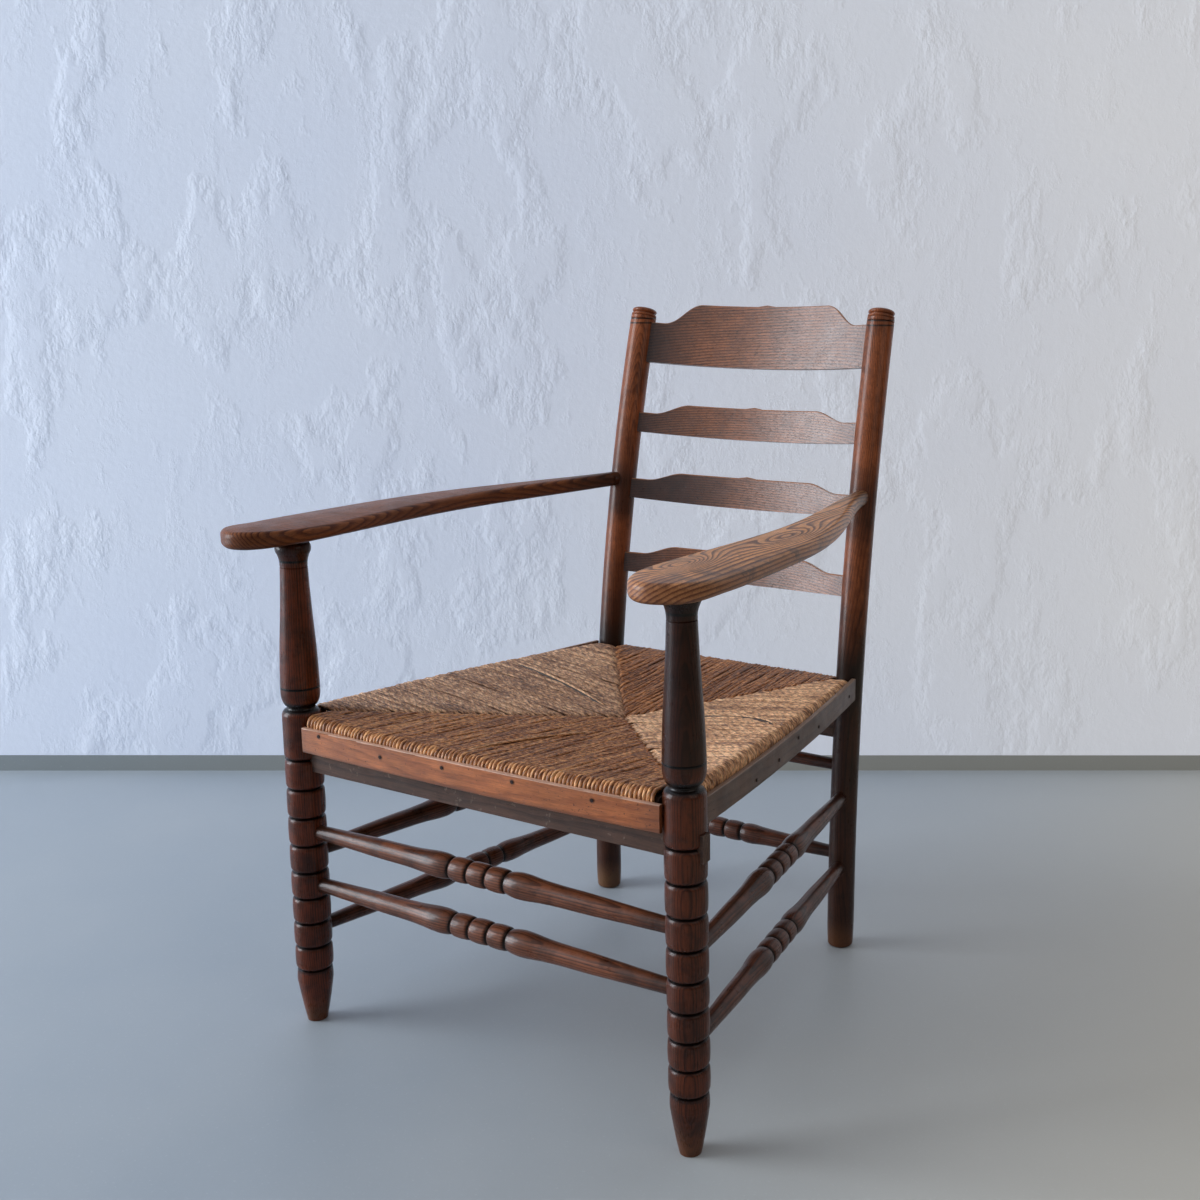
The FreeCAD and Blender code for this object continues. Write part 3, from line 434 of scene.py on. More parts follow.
def far_arm_wood():
    """Darker orange-brown, finer and straighter than the near arm."""
    eyes = (((-0.3188, -0.2622, 0.655), 0.012, 0.009, 0.012),)
    wood = Wood("far_arm_wood", srgb(146, 84, 46), srgb(84, 42, 22), (0.075, 0.997, 0.02),
                (-0.50, -0.05, 0.52), 0.0036, 0.005, 0.8, eyes)
    y = wood.separate(wood.point)[1]
    # Sides darker than the top: partly stain, partly painted shade
    side_stain_and_shade = wood.smooth(wood.normal_z(), 0.8, 0.2)
    wood.stain_and_painted_light(wood.math("MULTIPLY", side_stain_and_shade, 0.5), srgb(82, 44, 28))
    back_end = wood.smooth(y, 0.12, 0.27)
    wood.stain_and_painted_light(wood.math("MULTIPLY", back_end, 0.7), srgb(48, 30, 24))
    # Painted shade: darker on the underside
    underside_shade = wood.smooth(wood.normal_z(), -0.3, -0.9)
    wood.stain_and_painted_light(wood.math("MULTIPLY", underside_shade, 0.5), srgb(58, 36, 27))
    wood.dark_pores(0.7)
    return wood.finish((0.32, 0.46), 0.18, 0.25, 0.0003, 0.5, 0.10)


def stretcher_wood(name, start, end, early, late):
    """Turned wood, with painted shade making the grooves between the rings in the middle black."""
    start = Vector(start)
    end = Vector(end)
    along = (end - start).normalized()
    first, second, third = grain_axes(along)
    middle = (start + end) / 2
    pith = middle + second * 0.011 - third * 0.017
    wood = Wood(name + "_wood", early, late, along, pith, 0.0034, 0.004, 0.65)
    offset = wood.vector("SUBTRACT", wood.point, tuple(middle))
    lengthwise = wood.math("ABSOLUTE", wood.vector("DOT_PRODUCT", offset, tuple(first)))
    squared = wood.math("POWER", wood.vector("LENGTH", offset), 2.0)
    radius = wood.math("SQRT", wood.math("SUBTRACT", squared, wood.math("POWER", lengthwise, 2.0)))
    # Painted shade: nearly black in the grooves, found by their nearness to the axis
    narrow = wood.smooth(radius, 0.0148, 0.0130)
    grooves = wood.math("MULTIPLY", narrow, wood.smooth(lengthwise, 0.054, 0.050))
    wood.stain_and_painted_light(wood.math("MULTIPLY", grooves, 0.92), srgb(15, 10, 10))
    blotch = wood.smooth(wood.noise(wood.point, 34.0, 4.0, 0.65), 0.42, 0.68)
    wood.stain_and_painted_light(wood.math("MULTIPLY", blotch, 0.55), srgb(34, 18, 13))
    half = (end - start).length / 2
    wood.stain_and_painted_light(wood.smooth(lengthwise, half - 0.07, half - 0.025, 0.0, 0.6), srgb(24, 13, 11))
    wood.dark_pores(0.5)
    return wood.finish((0.24, 0.44), 0.22, 0.14, gloss=0.2)


def strip_wood(name, along, early, late, edge):
    """Thin flat-sawn strip whose top edge is pale from wear and a painted highlight."""
    wood = Wood(name + "_wood", early, late, along, (0.0, 0.0, 0.30), 0.0046, 0.008, 0.4)
    blotch = wood.smooth(wood.noise(wood.point, 24.0, 4.0, 0.65), 0.4, 0.7)
    wood.stain_and_painted_light(wood.math("MULTIPLY", blotch, 0.4), late)
    specks = wood.smooth(wood.noise(wood.point, 330.0, 1.0), 0.70, 0.76)
    wood.stain_and_painted_light(wood.math("MULTIPLY", specks, 0.7), srgb(40, 22, 18))
    # Upward-facing top edge paler: partly wear, partly a painted highlight
    top = wood.smooth(wood.normal_z(), 0.25, 0.7)
    wood.stain_and_painted_light(wood.math("MULTIPLY", top, 0.75), edge)
    wood.dark_pores(0.45)
    return wood


def front_strip_wood():
    """Orange-brown, pale along the top edge from rubbing and a painted highlight, dark round the nails."""
    wood = strip_wood("front_strip", (1, 0, 0), srgb(178, 104, 60), srgb(122, 62, 34), srgb(226, 184, 160))
    place = wood.separate(wood.point)
    x, z = place[0], place[2]
    for low, high in ((-0.24, -0.29), (0.235, 0.275)):
        wood.stain_and_painted_light(wood.math("MULTIPLY", wood.smooth(x, low, high), 0.45), srgb(76, 46, 36))
    wood.stain_and_painted_light(wood.math("MULTIPLY", wood.smooth(z, 0.396, 0.390), 0.5), srgb(70, 44, 34))
    for nail_x, nail_z in front_nails:
        place = wood.combine(wood.math("SUBTRACT", x, nail_x), 0.0, wood.math("SUBTRACT", z, nail_z))
        wood.stain_and_painted_light(wood.smooth(wood.vector("LENGTH", place), 0.0050, 0.0022, 0.0, 0.5), srgb(50, 28, 20))
    return wood.finish((0.30, 0.46), 0.2, 0.3)


def bearer_wood(name):
    """Dull, dark grey-brown sawn board with scratches."""
    wood = Wood(name + "_wood", srgb(84, 58, 46), srgb(48, 32, 26), (1, 0, 0),
                (0.0, 0.0, 0.25), 0.005, 0.006, 0.5)
    scratch_place = wood.vector("MULTIPLY", wood.combine(wood.a, wood.b, wood.c), (0.3, 1.0, 0.3))
    scratches = wood.smooth(wood.noise(scratch_place, 420.0, 2.0), 0.64, 0.72)
    wood.stain_and_painted_light(wood.math("MULTIPLY", scratches, 0.6), srgb(122, 102, 88))
    wood.dark_pores(0.6)
    return wood.finish((0.5, 0.68), 0.05, 0.4)


def iron():
    graph = Graph("nail_iron_finish")
    rust = graph.noise(graph.point, 900.0, 3.0, 0.6)
    color = graph.ramp(rust, [(0.3, srgb(30, 24, 24)), (0.6, srgb(52, 34, 28)), (0.8, srgb(74, 44, 32))])
    graph.put(color, graph.shader.inputs["Base Color"])
    graph.shader.inputs["Metallic"].default_value = 0.6
    graph.put(graph.smooth(rust, 0.3, 0.7, 0.4, 0.75), graph.shader.inputs["Roughness"])
    graph.put(graph.bump(rust, 0.3, 0.0002), graph.shader.inputs["Normal"])
    return graph.material


# Rush seat
def rush_finish(name, pale, mid, dark):
    """Twisted rush: a helical twist, fine fibres, and a tone for each strand."""
    graph = Graph(name)
    uv = graph.tree.nodes.new("ShaderNodeUVMap").outputs["UV"]
    length, around = list(graph.separate(uv))[:2]
    tone = graph.attribute("tone")
    beside = graph.math("MULTIPLY_ADD", around, 1.6, graph.math("MULTIPLY", tone, 37.0))
    flecks = graph.noise(graph.combine(graph.math("MULTIPLY", length, 42.0), beside, 0.0), 2.6, 3.0, 0.7)
    broad = graph.noise(graph.point, 14.0, 3.0, 0.6)
    mixed = graph.math("MULTIPLY_ADD", flecks, 1.45, graph.math("MULTIPLY_ADD", tone, 0.20, -0.47))
    mixed = graph.math("MULTIPLY_ADD", broad, 0.35, mixed)
    color = graph.ramp(mixed, [(0.26, dark), (0.50, mid), (0.74, pale)])
    turn = graph.math("ADD", around, graph.math("MULTIPLY", length, 42.0))
    turn = graph.math("ADD", turn, graph.math("MULTIPLY", tone, 5.0))
    twist = graph.math("SINE", graph.math("MULTIPLY", turn, 2 * math.pi * 2))
    fibre_place = graph.combine(graph.math("MULTIPLY", turn, 14.0), graph.math("MULTIPLY", length, 60.0),
                                graph.math("MULTIPLY", tone, 91.0))
    fibres = graph.noise(fibre_place, 3.0, 3.0, 0.65)
    shade = graph.smooth(twist, -1.0, -0.3, 0.66, 1.06)
    color = graph.mix(1.0, color, graph.combine(shade, shade, shade), "MULTIPLY")
    shade = graph.smooth(fibres, 0.28, 0.72, 0.60, 1.42)
    color = graph.mix(1.0, color, graph.combine(shade, shade, shade), "MULTIPLY")
    graph.put(color, graph.shader.inputs["Base Color"])
    graph.put(graph.smooth(fibres, 0.3, 0.7, 0.34, 0.55), graph.shader.inputs["Roughness"])
    height = graph.math("MULTIPLY_ADD", twist, 0.4, fibres)
    graph.put(graph.bump(height, 0.55, 0.0005), graph.shader.inputs["Normal"])
    graph.shader.inputs["Specular IOR Level"].default_value = 0.5
    return graph.material


def seam_place(corner, centre, share):
    return corner[0] + (centre[0] - corner[0]) * share, corner[1] + (centre[1] - corner[1]) * share


def front_rim(x):
    return 431.0 + 5.0 * (x / 267.0) ** 2


def side_rim(y):
    return 432.0 - 0.0315 * y - 0.000027 * y * y


def rush_bottom(y):
    return 390.3 - 7.3 * (y + 305.0) / 614.0


corners = {
    ("front", -1): (-front_reach, -254.0), ("front", 1): (front_reach, -254.0),
    ("back", -1): (-back_reach, 270.0), ("back", 1): (back_reach, 270.0),
}


def seam_share(corner, across, axis):
    """How far along its seam, from corner to centre, a strand meets it."""
    start = corner[axis]
    end = weave_centre[axis]
    return min(1.0, max(0.0, (across - start) / (end - start)))


corner_heights = {("front", -1): 434.0, ("front", 1): 434.0, ("back", -1): 420.0, ("back", 1): 418.0}


def seam_height(corner_key, share):
    """The seam's height; the left front one falls away sooner."""
    power = 0.72 if corner_key == ("front", 1) else 0.95
    corner_height = corner_heights[corner_key]
    return corner_height - (corner_height - centre_height) * share ** power


class Strand:
    """Where one strand lies: its outer point, its way inwards, and its profile."""

    def __init__(self, panel, across):
        self.panel = panel
        if panel in ("front", "back"):
            side = 1 if across > weave_centre[0] else -1
            key = (panel, side)
            share = seam_share(corners[key], across, 0)
            seam = seam_place(corners[key], weave_centre, share)
            circle = front_circle if panel == "front" else back_circle
            reach = math.sqrt(circle[2] ** 2 - across ** 2)
            outer_y = circle[1] - reach if panel == "front" else circle[1] + reach
            self.outer = (across, outer_y)
            self.inward = (0.0, 1.0 if panel == "front" else -1.0)
            self.side = (1.0, 0.0)
            self.depth = abs(seam[1] - outer_y)
            self.rim = front_rim(across) if panel == "front" else 416.0
        else:
            key = ("front" if across < weave_centre[1] else "back", 1 if panel == "left" else -1)
            share = seam_share(corners[key], across, 1)
            seam = seam_place(corners[key], weave_centre, share)
            sign = key[1]
            reach = math.sqrt(side_circle[2] ** 2 - (across - side_circle[1]) ** 2)
            outer_x = sign * (side_circle[0] + reach)
            self.outer = (outer_x, across)
            self.inward = (-float(sign), 0.0)
            self.side = (0.0, 1.0)
            self.depth = abs(seam[0] - outer_x)
            self.rim = side_rim(across)
        self.seam_top = seam_height(key, share)
        self.bottom = rush_bottom(self.outer[1])
        self.seam_bottom = self.bottom - (self.bottom - underside_centre_height) * share

    def top_height(self, inwards):
        """The weave's upper face at a distance inwards."""
        start = strand_inset + top_roll
        return self.rim + (self.seam_top - self.rim) * (inwards - start) / (self.depth - start)

    def top_profile(self, step, dip):
        """Distance inwards and height, from the roll over the rail to the seam."""
        start = strand_inset + top_roll
        count = max(3, int((self.depth - start) / step))
        points = []
        for index in range(1, count + 1):
            share = index / count
            height = self.rim + (self.seam_top - self.rim) * share
            points.append([start + (self.depth - start) * share, height - strand_half_thickness])
        points[-1][1] -= dip
        return points

    def wrap_profile(self):
        """Round the rail: under edge, outer face and top edge."""
        low = self.bottom + strand_half_thickness
        high = self.rim - strand_half_thickness
        points = [[underside_flat, low]]
        for index in range(4):
            angle = math.pi / 2 * index / 3
            inwards = strand_inset + bottom_roll * (1 - math.sin(angle))
            points.append([inwards, low + bottom_roll * (1 - math.cos(angle))])
        points.append([strand_inset, (low + bottom_roll + high - top_roll) / 2])
        for index in range(6):
            angle = math.pi / 2 * index / 5
            inwards = strand_inset + top_roll * (1 - math.cos(angle))
            points.append([inwards, high - top_roll * (1 - math.sin(angle))])
        return points

    def under_profile(self, step, dip):
        """From the underside's seam to the flat part below the rail."""
        count = max(2, int((self.depth - underside_flat) / step))
        low = self.bottom + strand_half_thickness
        seam_low = self.seam_bottom + strand_half_thickness
        points = []
        for index in range(count):
            share = index / count
            inwards = self.depth + (underside_flat - self.depth) * share
            points.append([inwards, seam_low + (low - seam_low) * share])
        points[0][1] += dip
        return points

    def place(self, inwards, height, aside=0.0):
        x = self.outer[0] + self.inward[0] * inwards + self.side[0] * aside
        y = self.outer[1] + self.inward[1] * inwards + self.side[1] * aside
        return Vector((x, y - origin_y_mm, height)) / 1000


class MeshBuilder:
    def __init__(self):
        self.points = []
        self.faces = []
        self.uvs = []
        self.tones = []

    def tube(self, centres, sides, normals, half_widths, half_thicknesses, tone, ring=8):
        """A closed elliptical tube along the centres."""
        base = len(self.points)
        run = 0.0
        runs = []
        for index, centre in enumerate(centres):
            if index:
                run += (centre - centres[index - 1]).length
            runs.append(run)
            for step in range(ring):
                angle = 2 * math.pi * step / ring
                point = centre + sides[index] * (math.cos(angle) * half_widths[index])
                self.points.append(point + normals[index] * (math.sin(angle) * half_thicknesses[index]))
                self.tones.append(tone)
        for index in range(len(centres) - 1):
            for step in range(ring):
                following = (step + 1) % ring
                low = base + index * ring
                high = low + ring
                self.faces.append((low + step, low + following, high + following, high + step))
                here, ahead = step / ring, (step + 1) / ring
                start, end = runs[index], runs[index + 1]
                self.uvs += [(start, here), (start, ahead), (end, ahead), (end, here)]
        for index, order in ((0, -1), (len(centres) - 1, 1)):
            corners_of_cap = [base + index * ring + step for step in range(ring)][::order]
            self.faces.append(tuple(corners_of_cap))
            self.uvs += [(runs[index], 0.5)] * ring

    def make(self, name, materials):
        mesh = bpy.data.meshes.new(name)
        mesh.from_pydata([tuple(point) for point in self.points], [], self.faces)
        layer = mesh.uv_layers.new(name="UVMap")
        layer.data.foreach_set("uv", [value for pair in self.uvs for value in pair])
        tone = mesh.attributes.new("tone", "FLOAT", "POINT")
        tone.data.foreach_set("value", self.tones)
        mesh.polygons.foreach_set("use_smooth", [True] * len(mesh.polygons))
        for material in materials:
            mesh.materials.append(material)
        mesh.update()
        return link_object(name, mesh)


def tube_frames(strand, profile, sway, lift, phase):
    """Centres, sideways and outward directions along one strand."""
    centres = []
    for index, (inwards, height) in enumerate(profile):
        along = inwards / 1000
        aside = sway * math.sin(phase + along * 31) * smooth_step(10, 60, inwards)
        raised = lift * math.sin(phase * 1.7 + along * 47) * smooth_step(14, 60, inwards)
        centres.append(strand.place(inwards, height + raised, aside))
    side = Vector((strand.side[0], strand.side[1], 0))
    normals = []
    sides = []
    for index in range(len(centres)):
        before = centres[max(0, index - 1)]
        after = centres[min(len(centres) - 1, index + 1)]
        tangent = (after - before).normalized()
        own_side = (side - tangent * side.dot(tangent)).normalized()
        sides.append(own_side)
        normals.append(own_side.cross(tangent))
    return centres, sides, normals


def panel_range(panel):
    return {"front": (-front_reach, front_reach), "back": (-back_reach, back_reach)}.get(panel, side_reach)


def weave_panel(panel, seed, materials):
    """All the strands of one of the four panels, over and under."""
    chance = random.Random(seed)
    low, high = panel_range(panel)
    count = round((high - low) / strand_pitch)
    builder = MeshBuilder()
    for index in range(count):
        across = low + (index + 0.5) * (high - low) / count + chance.uniform(-0.5, 0.5)
        strand = Strand(panel, across)
        strand.depth += chance.uniform(-0.5, 4.0)
        strand.rim += chance.uniform(-0.8, 0.6)
        tone = chance.random()
        profile = strand.under_profile(under_step, under_dip) + strand.wrap_profile()
        profile += strand.top_profile(top_step, seam_dip)
        sway = chance.uniform(0.4, 2.0)
        lift = chance.uniform(0.3, 1.2)
        centres, sides, normals = tube_frames(strand, profile, sway, lift, chance.uniform(0, 6.28))
        fat = chance.uniform(0.9, 1.12)
        half_widths = [strand_half_width / 1000 * fat * (1 + 0.07 * math.sin(index + place * 1.9))
                       for place in range(len(centres))]
        half_thicknesses = [strand_half_thickness / 1000 * min(fat, 1.0)] * len(centres)
        builder.tube(centres, sides, normals, half_widths, half_thicknesses, tone)
    piece = builder.make("rush_" + panel, materials)
    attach(piece, "root")
    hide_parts("rush_seat")
    return piece


def stray_strands(name, materials, aside, high):
    """Loose strands that have worked up and lie across the others, or the painted shadow line beside each."""
    builder = MeshBuilder()
    up = Vector((0, 0, 1))
    for panel, start, bend, end in strays:
        centres = []
        for index in range(stray_steps + 1):
            share = index / stray_steps
            weights = ((1 - share) ** 2, 2 * share * (1 - share), share ** 2)
            across = sum(weight * point[0] for weight, point in zip(weights, (start, bend, end)))
            inwards = sum(weight * point[1] for weight, point in zip(weights, (start, bend, end)))
            strand = Strand(panel, across)
            lift = high * math.sin(math.pi * share) ** 0.6 - strand_half_thickness
            centres.append(strand.place(inwards, strand.top_height(inwards) + lift, aside))
        sides = []
        normals = []
        for index in range(len(centres)):
            tangent = (centres[min(stray_steps, index + 1)] - centres[max(0, index - 1)]).normalized()
            side = tangent.cross(up).normalized()
            sides.append(side)
            normals.append(side.cross(tangent))
        widths = [stray_half_width / 1000] * len(centres)
        builder.tube(centres, sides, normals, widths, widths, 0.85)
    piece = builder.make(name, materials)
    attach(piece, "root")
    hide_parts("rush_seat")


def stuffing(materials):
    """The straw between the upper and lower strands, seen through gaps, made dark as painted shade."""
    builder = MeshBuilder()
    samples = 9
    for panel in ("front", "back", "left", "right"):
        low, high = panel_range(panel)
        count = 24
        for upper in (True, False):
            base = len(builder.points)
            for index in range(count + 1):
                strand = Strand(panel, low + (high - low) * index / count)
                for step in range(samples + 1):
                    share = step / samples
                    inwards = 8.0 + (strand.depth - 8.0) * share
                    if upper:
                        height = strand.rim + (strand.seam_top - strand.rim) * share - stuffing_depth
                    else:
                        height = strand.bottom + (strand.seam_bottom - strand.bottom) * share + stuffing_depth
                    builder.points.append(strand.place(inwards, height))
                    builder.tones.append(0.2)
            for index in range(count):
                for step in range(samples):
                    first = base + index * (samples + 1) + step
                    builder.faces.append((first, first + 1, first + samples + 2, first + samples + 1))
                    builder.uvs += [(step / 40, index / 3), ((step + 1) / 40, index / 3),
                                    ((step + 1) / 40, (index + 1) / 3), (step / 40, (index + 1) / 3)]
    piece = builder.make("rush_stuffing", materials)
    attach(piece, "root")
    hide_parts("rush_seat")


# Room
def box_mesh(name, corner, opposite):
    xs, ys, zs = zip(corner, opposite)
    points = [(x, y, z) for z in zs for y in ys for x in xs]
    faces = [(0, 2, 3, 1), (4, 5, 7, 6), (0, 1, 5, 4), (2, 6, 7, 3), (0, 4, 6, 2), (1, 3, 7, 5)]
    mesh = bpy.data.meshes.new(name)
    mesh.from_pydata(points, [], faces)
    return link_object(name, mesh)


def plaster():
    """Pale, roughly trowelled wall, which glows as painted light."""
    graph = Graph("plaster")
    broad = graph.noise(graph.point, 1.3, 3.0, 0.5)
    color = graph.ramp(broad, [(0.3, srgb(226, 229, 238)), (0.7, srgb(234, 235, 239))])
    graph.put(color, graph.shader.inputs["Base Color"])
    graph.shader.inputs["Roughness"].default_value = 0.8
    place = graph.separate(graph.point)[0]
    # Painted light: the wall's glow, bluish on the left and white to the right, as the room's light falls on
    # it
    glow = graph.mix(graph.smooth(place, 0.2, 2.6), (0.40, 0.55, 0.90, 1), (1.0, 0.98, 1.0, 1))
    graph.put(glow, graph.shader.inputs["Emission Color"])
    graph.shader.inputs["Emission Strength"].default_value = wall_glow
    trowel_place = graph.vector("MULTIPLY", graph.point, (1.0, 1.0, 0.62))
    patches = graph.smooth(graph.noise(trowel_place, 4.2, 6.0, 0.6), 0.50, 0.60)
    ridges = graph.smooth(graph.noise(trowel_place, 9.0, 7.0, 0.72), 0.52, 0.62)
    grains = graph.noise(graph.point, 60.0, 5.0, 0.7)
    normal = graph.bump(patches, 0.20, 0.010)
    normal = graph.bump(ridges, 0.14, 0.007, normal)
    normal = graph.bump(grains, 0.25, 0.003, normal)
    graph.put(normal, graph.shader.inputs["Normal"])
    return graph


def clear_from_behind(graph):
    """Lets a view from the far side pass through, so the wall never hides the object."""
    tree = graph.tree
    backfacing = tree.nodes.new("ShaderNodeNewGeometry").outputs["Backfacing"]
    clear = tree.nodes.new("ShaderNodeBsdfTransparent")
    chosen = tree.nodes.new("ShaderNodeMixShader")
    tree.links.new(backfacing, chosen.inputs[0])
    tree.links.new(graph.shader.outputs[0], chosen.inputs[1])
    tree.links.new(clear.outputs[0], chosen.inputs[2])
    tree.links.new(chosen.outputs[0], tree.nodes["Material Output"].inputs["Surface"])
    return graph.material


def floor_paint(name, low, high, far):
    """Pale grey-green painted concrete, warmer towards +x as painted light."""
    graph = Graph(name)
    broad = graph.noise(graph.point, 2.2, 4.0, 0.55)
    color = graph.ramp(broad, [(0.3, low), (0.7, high)])
    # Painted light: warmer towards +x, where the warm fill falls
    color = graph.mix(graph.smooth(graph.separate(graph.point)[0], -0.2, 1.6), color, far)
    specks = graph.smooth(graph.noise(graph.point, 260.0, 2.0), 0.62, 0.75)
    color = graph.mix(graph.math("MULTIPLY", specks, 0.16), color, srgb(214, 218, 220))
    graph.put(color, graph.shader.inputs["Base Color"])
    graph.put(graph.smooth(broad, 0.3, 0.7, 0.42, 0.55), graph.shader.inputs["Roughness"])
    graph.put(graph.bump(graph.noise(graph.point, 150.0, 3.0), 0.1, 0.001), graph.shader.inputs["Normal"])
    return graph


def upright_sheet(name, height, offset):
    """A flat sheet that faces the object."""
    half = wall_half_width
    points = [(-half, offset, 0), (half, offset, 0), (half, offset, height), (-half, offset, height)]
    mesh = bpy.data.meshes.new(name)
    mesh.from_pydata(points, [], [(0, 1, 2, 3)])
    return link_object(name, mesh)


def add_room():
    half = room_half_width
    floor = box_mesh("floor", (-half, -half, -0.02), (half, half, floor_top))
    paint = floor_paint("floor_paint", srgb(164, 173, 182), srgb(175, 182, 189), srgb(216, 206, 186))
    floor.data.materials.append(paint.material)
    # Painted shade: the skirting has the floor's paint, made darker
    skirting_shaded_paint = floor_paint("skirting_shaded_paint", srgb(140, 148, 152), srgb(148, 155, 158),
                                 srgb(166, 164, 156))
    along = (wall_line[1] - wall_line[0]).normalized()
    angle = math.atan2(along.y, along.x)
    wall = upright_sheet("wall", wall_height, 0.0)
    skirting = upright_sheet("skirting", skirting_height, -skirting_thickness)
    for piece, graph in ((wall, plaster()), (skirting, skirting_shaded_paint)):
        piece.data.materials.append(clear_from_behind(graph))
        piece.location = wall_line[0]
        piece.rotation_euler = (0, 0, angle)


def add_light(name, kind, energy, color, **values):
    data = bpy.data.lights.new(name, kind)
    data.energy = energy
    data.color = color
    for key, value in values.items():
        setattr(data, key, value)
    made = link_object(name, data)
    made.visible_camera = False
    return made


def aim(made, place, target):
    made.location = place
    direction = Vector(target) - Vector(place)
    made.rotation_euler = direction.to_track_quat("-Z", "Y").to_euler()


def room_light():
    """Light from all round: brighter from the window's side and above, dim from the camera's side."""
    world = bpy.data.worlds.new("room_light")
    world.use_nodes = True
    tree = world.node_tree
    direction = tree.nodes.new("ShaderNodeTexCoord").outputs["Generated"]
    dot = tree.nodes.new("ShaderNodeVectorMath")
    dot.operation = "DOT_PRODUCT"
    tree.links.new(direction, dot.inputs[0])
    dot.inputs[1].default_value = Vector(world_direction).normalized()
    spread = tree.nodes.new("ShaderNodeMapRange")
    spread.interpolation_type = "SMOOTHSTEP"
    tree.links.new(dot.outputs["Value"], spread.inputs[0])
    for value, socket in zip(world_range, list(spread.inputs)[1:5]):
        socket.default_value = value
    background = tree.nodes["Background"]
    background.inputs[0].default_value = (0.88, 0.94, 1.0, 1)
    tree.links.new(spread.outputs[0], background.inputs[1])
    bpy.context.scene.world = world


def add_lights():
    """A tall cool window on the left, and a weak warm fill on the right."""
    for name, power, color, width, height, place, target in lamps:
        lamp = add_light(name, "AREA", power, color, shape="RECTANGLE", size=width, size_y=height)
        aim(lamp, place, target)
    room_light()


def add_camera():
    data = bpy.data.cameras.new("camera")
    data.sensor_fit = "HORIZONTAL"
    data.sensor_width = 36.0
    data.lens = camera_lens
    data.shift_x, data.shift_y = camera_shift
    camera = link_object("camera", data)
    turn = math.radians(camera_turn_deg)
    pitch = math.radians(camera_pitch_deg)
    roll = math.radians(camera_roll_deg)
    level = Vector((math.cos(turn), math.sin(turn), 0))
    forward = Vector((-math.sin(turn) * math.cos(pitch), math.cos(turn) * math.cos(pitch), -math.sin(pitch)))
    upright = level.cross(forward)
    right = level * math.cos(roll) + upright * math.sin(roll)
    up = upright * math.cos(roll) - level * math.sin(roll)
    axes = Matrix((right, up, -forward)).transposed().to_4x4()
    camera.matrix_world = Matrix.Translation(camera_place) @ axes
    bpy.context.scene.camera = camera


def post_y(height):
    """The bent post's axis at a height."""
    return post_foot_y + max(0.0, height - post_bend_start) ** 2 / (2 * post_bend_radius)


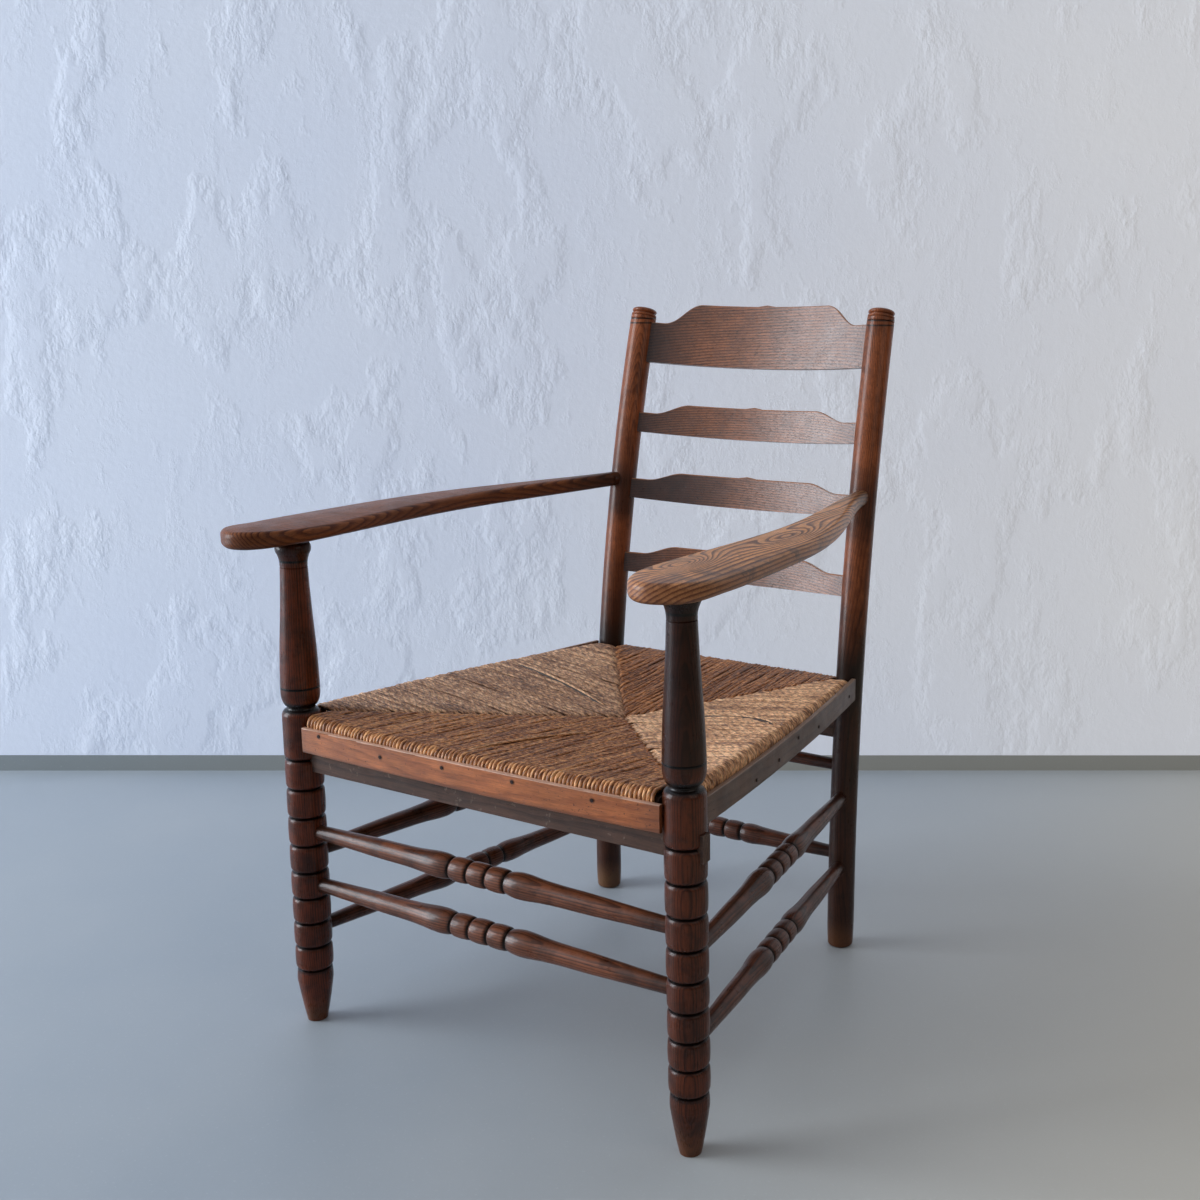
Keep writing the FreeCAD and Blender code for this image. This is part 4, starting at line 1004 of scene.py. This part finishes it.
def dress_frame():
    """Materials of the CAD nodes that stay."""
    dress("left_front_leg", leg_wood(1))
    dress("right_front_leg", leg_wood(-1))
    dress("left_back_post", post_wood(1))
    dress("right_back_post", post_wood(-1))
    dress("left_arm", near_arm_wood())
    dress("right_arm", far_arm_wood())
    dress("crest_slat", slat_wood("crest_slat", (-0.12, 0.37, 0.80), 0.0044, (0.0, 0.05)))
    dress("upper_slat", slat_wood("upper_slat", (0.0, 0.36, 0.66), 0.0036, (0.0, 0.02)))
    dress("middle_slat", slat_wood("middle_slat", (0.0, 0.34, 0.55), 0.0036, (0.0, -0.02), 0.03, -0.12))
    dress("lower_slat", slat_wood("lower_slat", (0.0, 0.33, 0.44), 0.0036, (0.0, 0.02)))
    dress("front_strip", front_strip_wood())
    for node, along, early, late, edge in (
            ("left_strip", (-0.136, 0.99, 0), srgb(98, 74, 62), srgb(58, 42, 36), srgb(150, 122, 104)),
            ("right_strip", (0.136, 0.99, 0), srgb(128, 84, 56), srgb(78, 46, 32), srgb(160, 118, 90))):
        dress(node, strip_wood(node, along, early, late, edge).finish((0.38, 0.55), 0.15, 0.3))
    back = strip_wood("back_strip", (1, 0, 0), srgb(84, 58, 46), srgb(52, 36, 30), srgb(90, 66, 54))
    dress("back_strip", back.finish((0.4, 0.6), 0.1, 0.3))
    for node in ("front_bearer", "back_bearer"):
        dress(node, bearer_wood(node))
    nail_finish = iron()
    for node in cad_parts:
        if node.endswith("nails"):
            dress(node, nail_finish)
    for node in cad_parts:
        if node.endswith("stretcher"):
            dress_stretcher(node)
    rail = bearer_wood("seat_rail")
    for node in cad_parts:
        if node.endswith("seat_rail"):
            dress(node, rail)


def dress_stretcher(node):
    low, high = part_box(node)
    height = (low.z + high.z) / 2
    early, late = srgb(98, 54, 36), srgb(48, 24, 16)
    if node.startswith(("front", "back")):
        middle_y = (low.y + high.y) / 2
        if node.startswith("front"):
            early, late = srgb(122, 70, 46), srgb(60, 32, 21)
        dress(node, stretcher_wood(node, (low.x, middle_y, height), (high.x, middle_y, height), early, late))
        return
    side = 1 if node.startswith("left") else -1
    start = Vector((side * (leg_x - leg_lean * height), leg_y, height))
    end = Vector((side * post_x, post_y(height), height))
    dress(node, stretcher_wood(node, start, end, early, late))


def add_rush():
    # Painted light and shade: each panel gets its own lighter or darker copy of the rush colours, for how it
    # faces the light
    panels = {
        "front": (11, srgb(236, 172, 112), srgb(172, 110, 66), srgb(92, 52, 28)),
        "right": (12, srgb(232, 184, 142), srgb(166, 118, 84), srgb(92, 58, 40)),
        "back": (13, srgb(218, 150, 94), srgb(154, 96, 56), srgb(84, 48, 27)),
        "left": (14, srgb(248, 198, 150), srgb(192, 138, 96), srgb(108, 70, 46)),
    }
    for panel, (seed, pale, mid, dark) in panels.items():
        weave_panel(panel, seed, [rush_finish("rush_%s_finish" % panel, pale, mid, dark)])
    # Painted shade: the straw is made dark so the gaps between strands read as shade
    straw = rush_finish("rush_stuffing_finish", srgb(74, 50, 34), srgb(50, 33, 24), srgb(30, 20, 15))
    stray_strands("rush_strays", [rush_finish("rush_strays_finish", *panels["left"][1:])], 0.0, stray_lift)
    # Painted shadow: a dark tube beside each loose strand
    stray_strands("rush_stray_shadows", [straw], -stray_shadow_offset, stray_lift / 2)
    stuffing([straw])


def main():
    bpy.context.scene.view_settings.view_transform = "Standard"
    add_room()
    add_lights()
    add_camera()
    dress_frame()
    add_rush()


main()
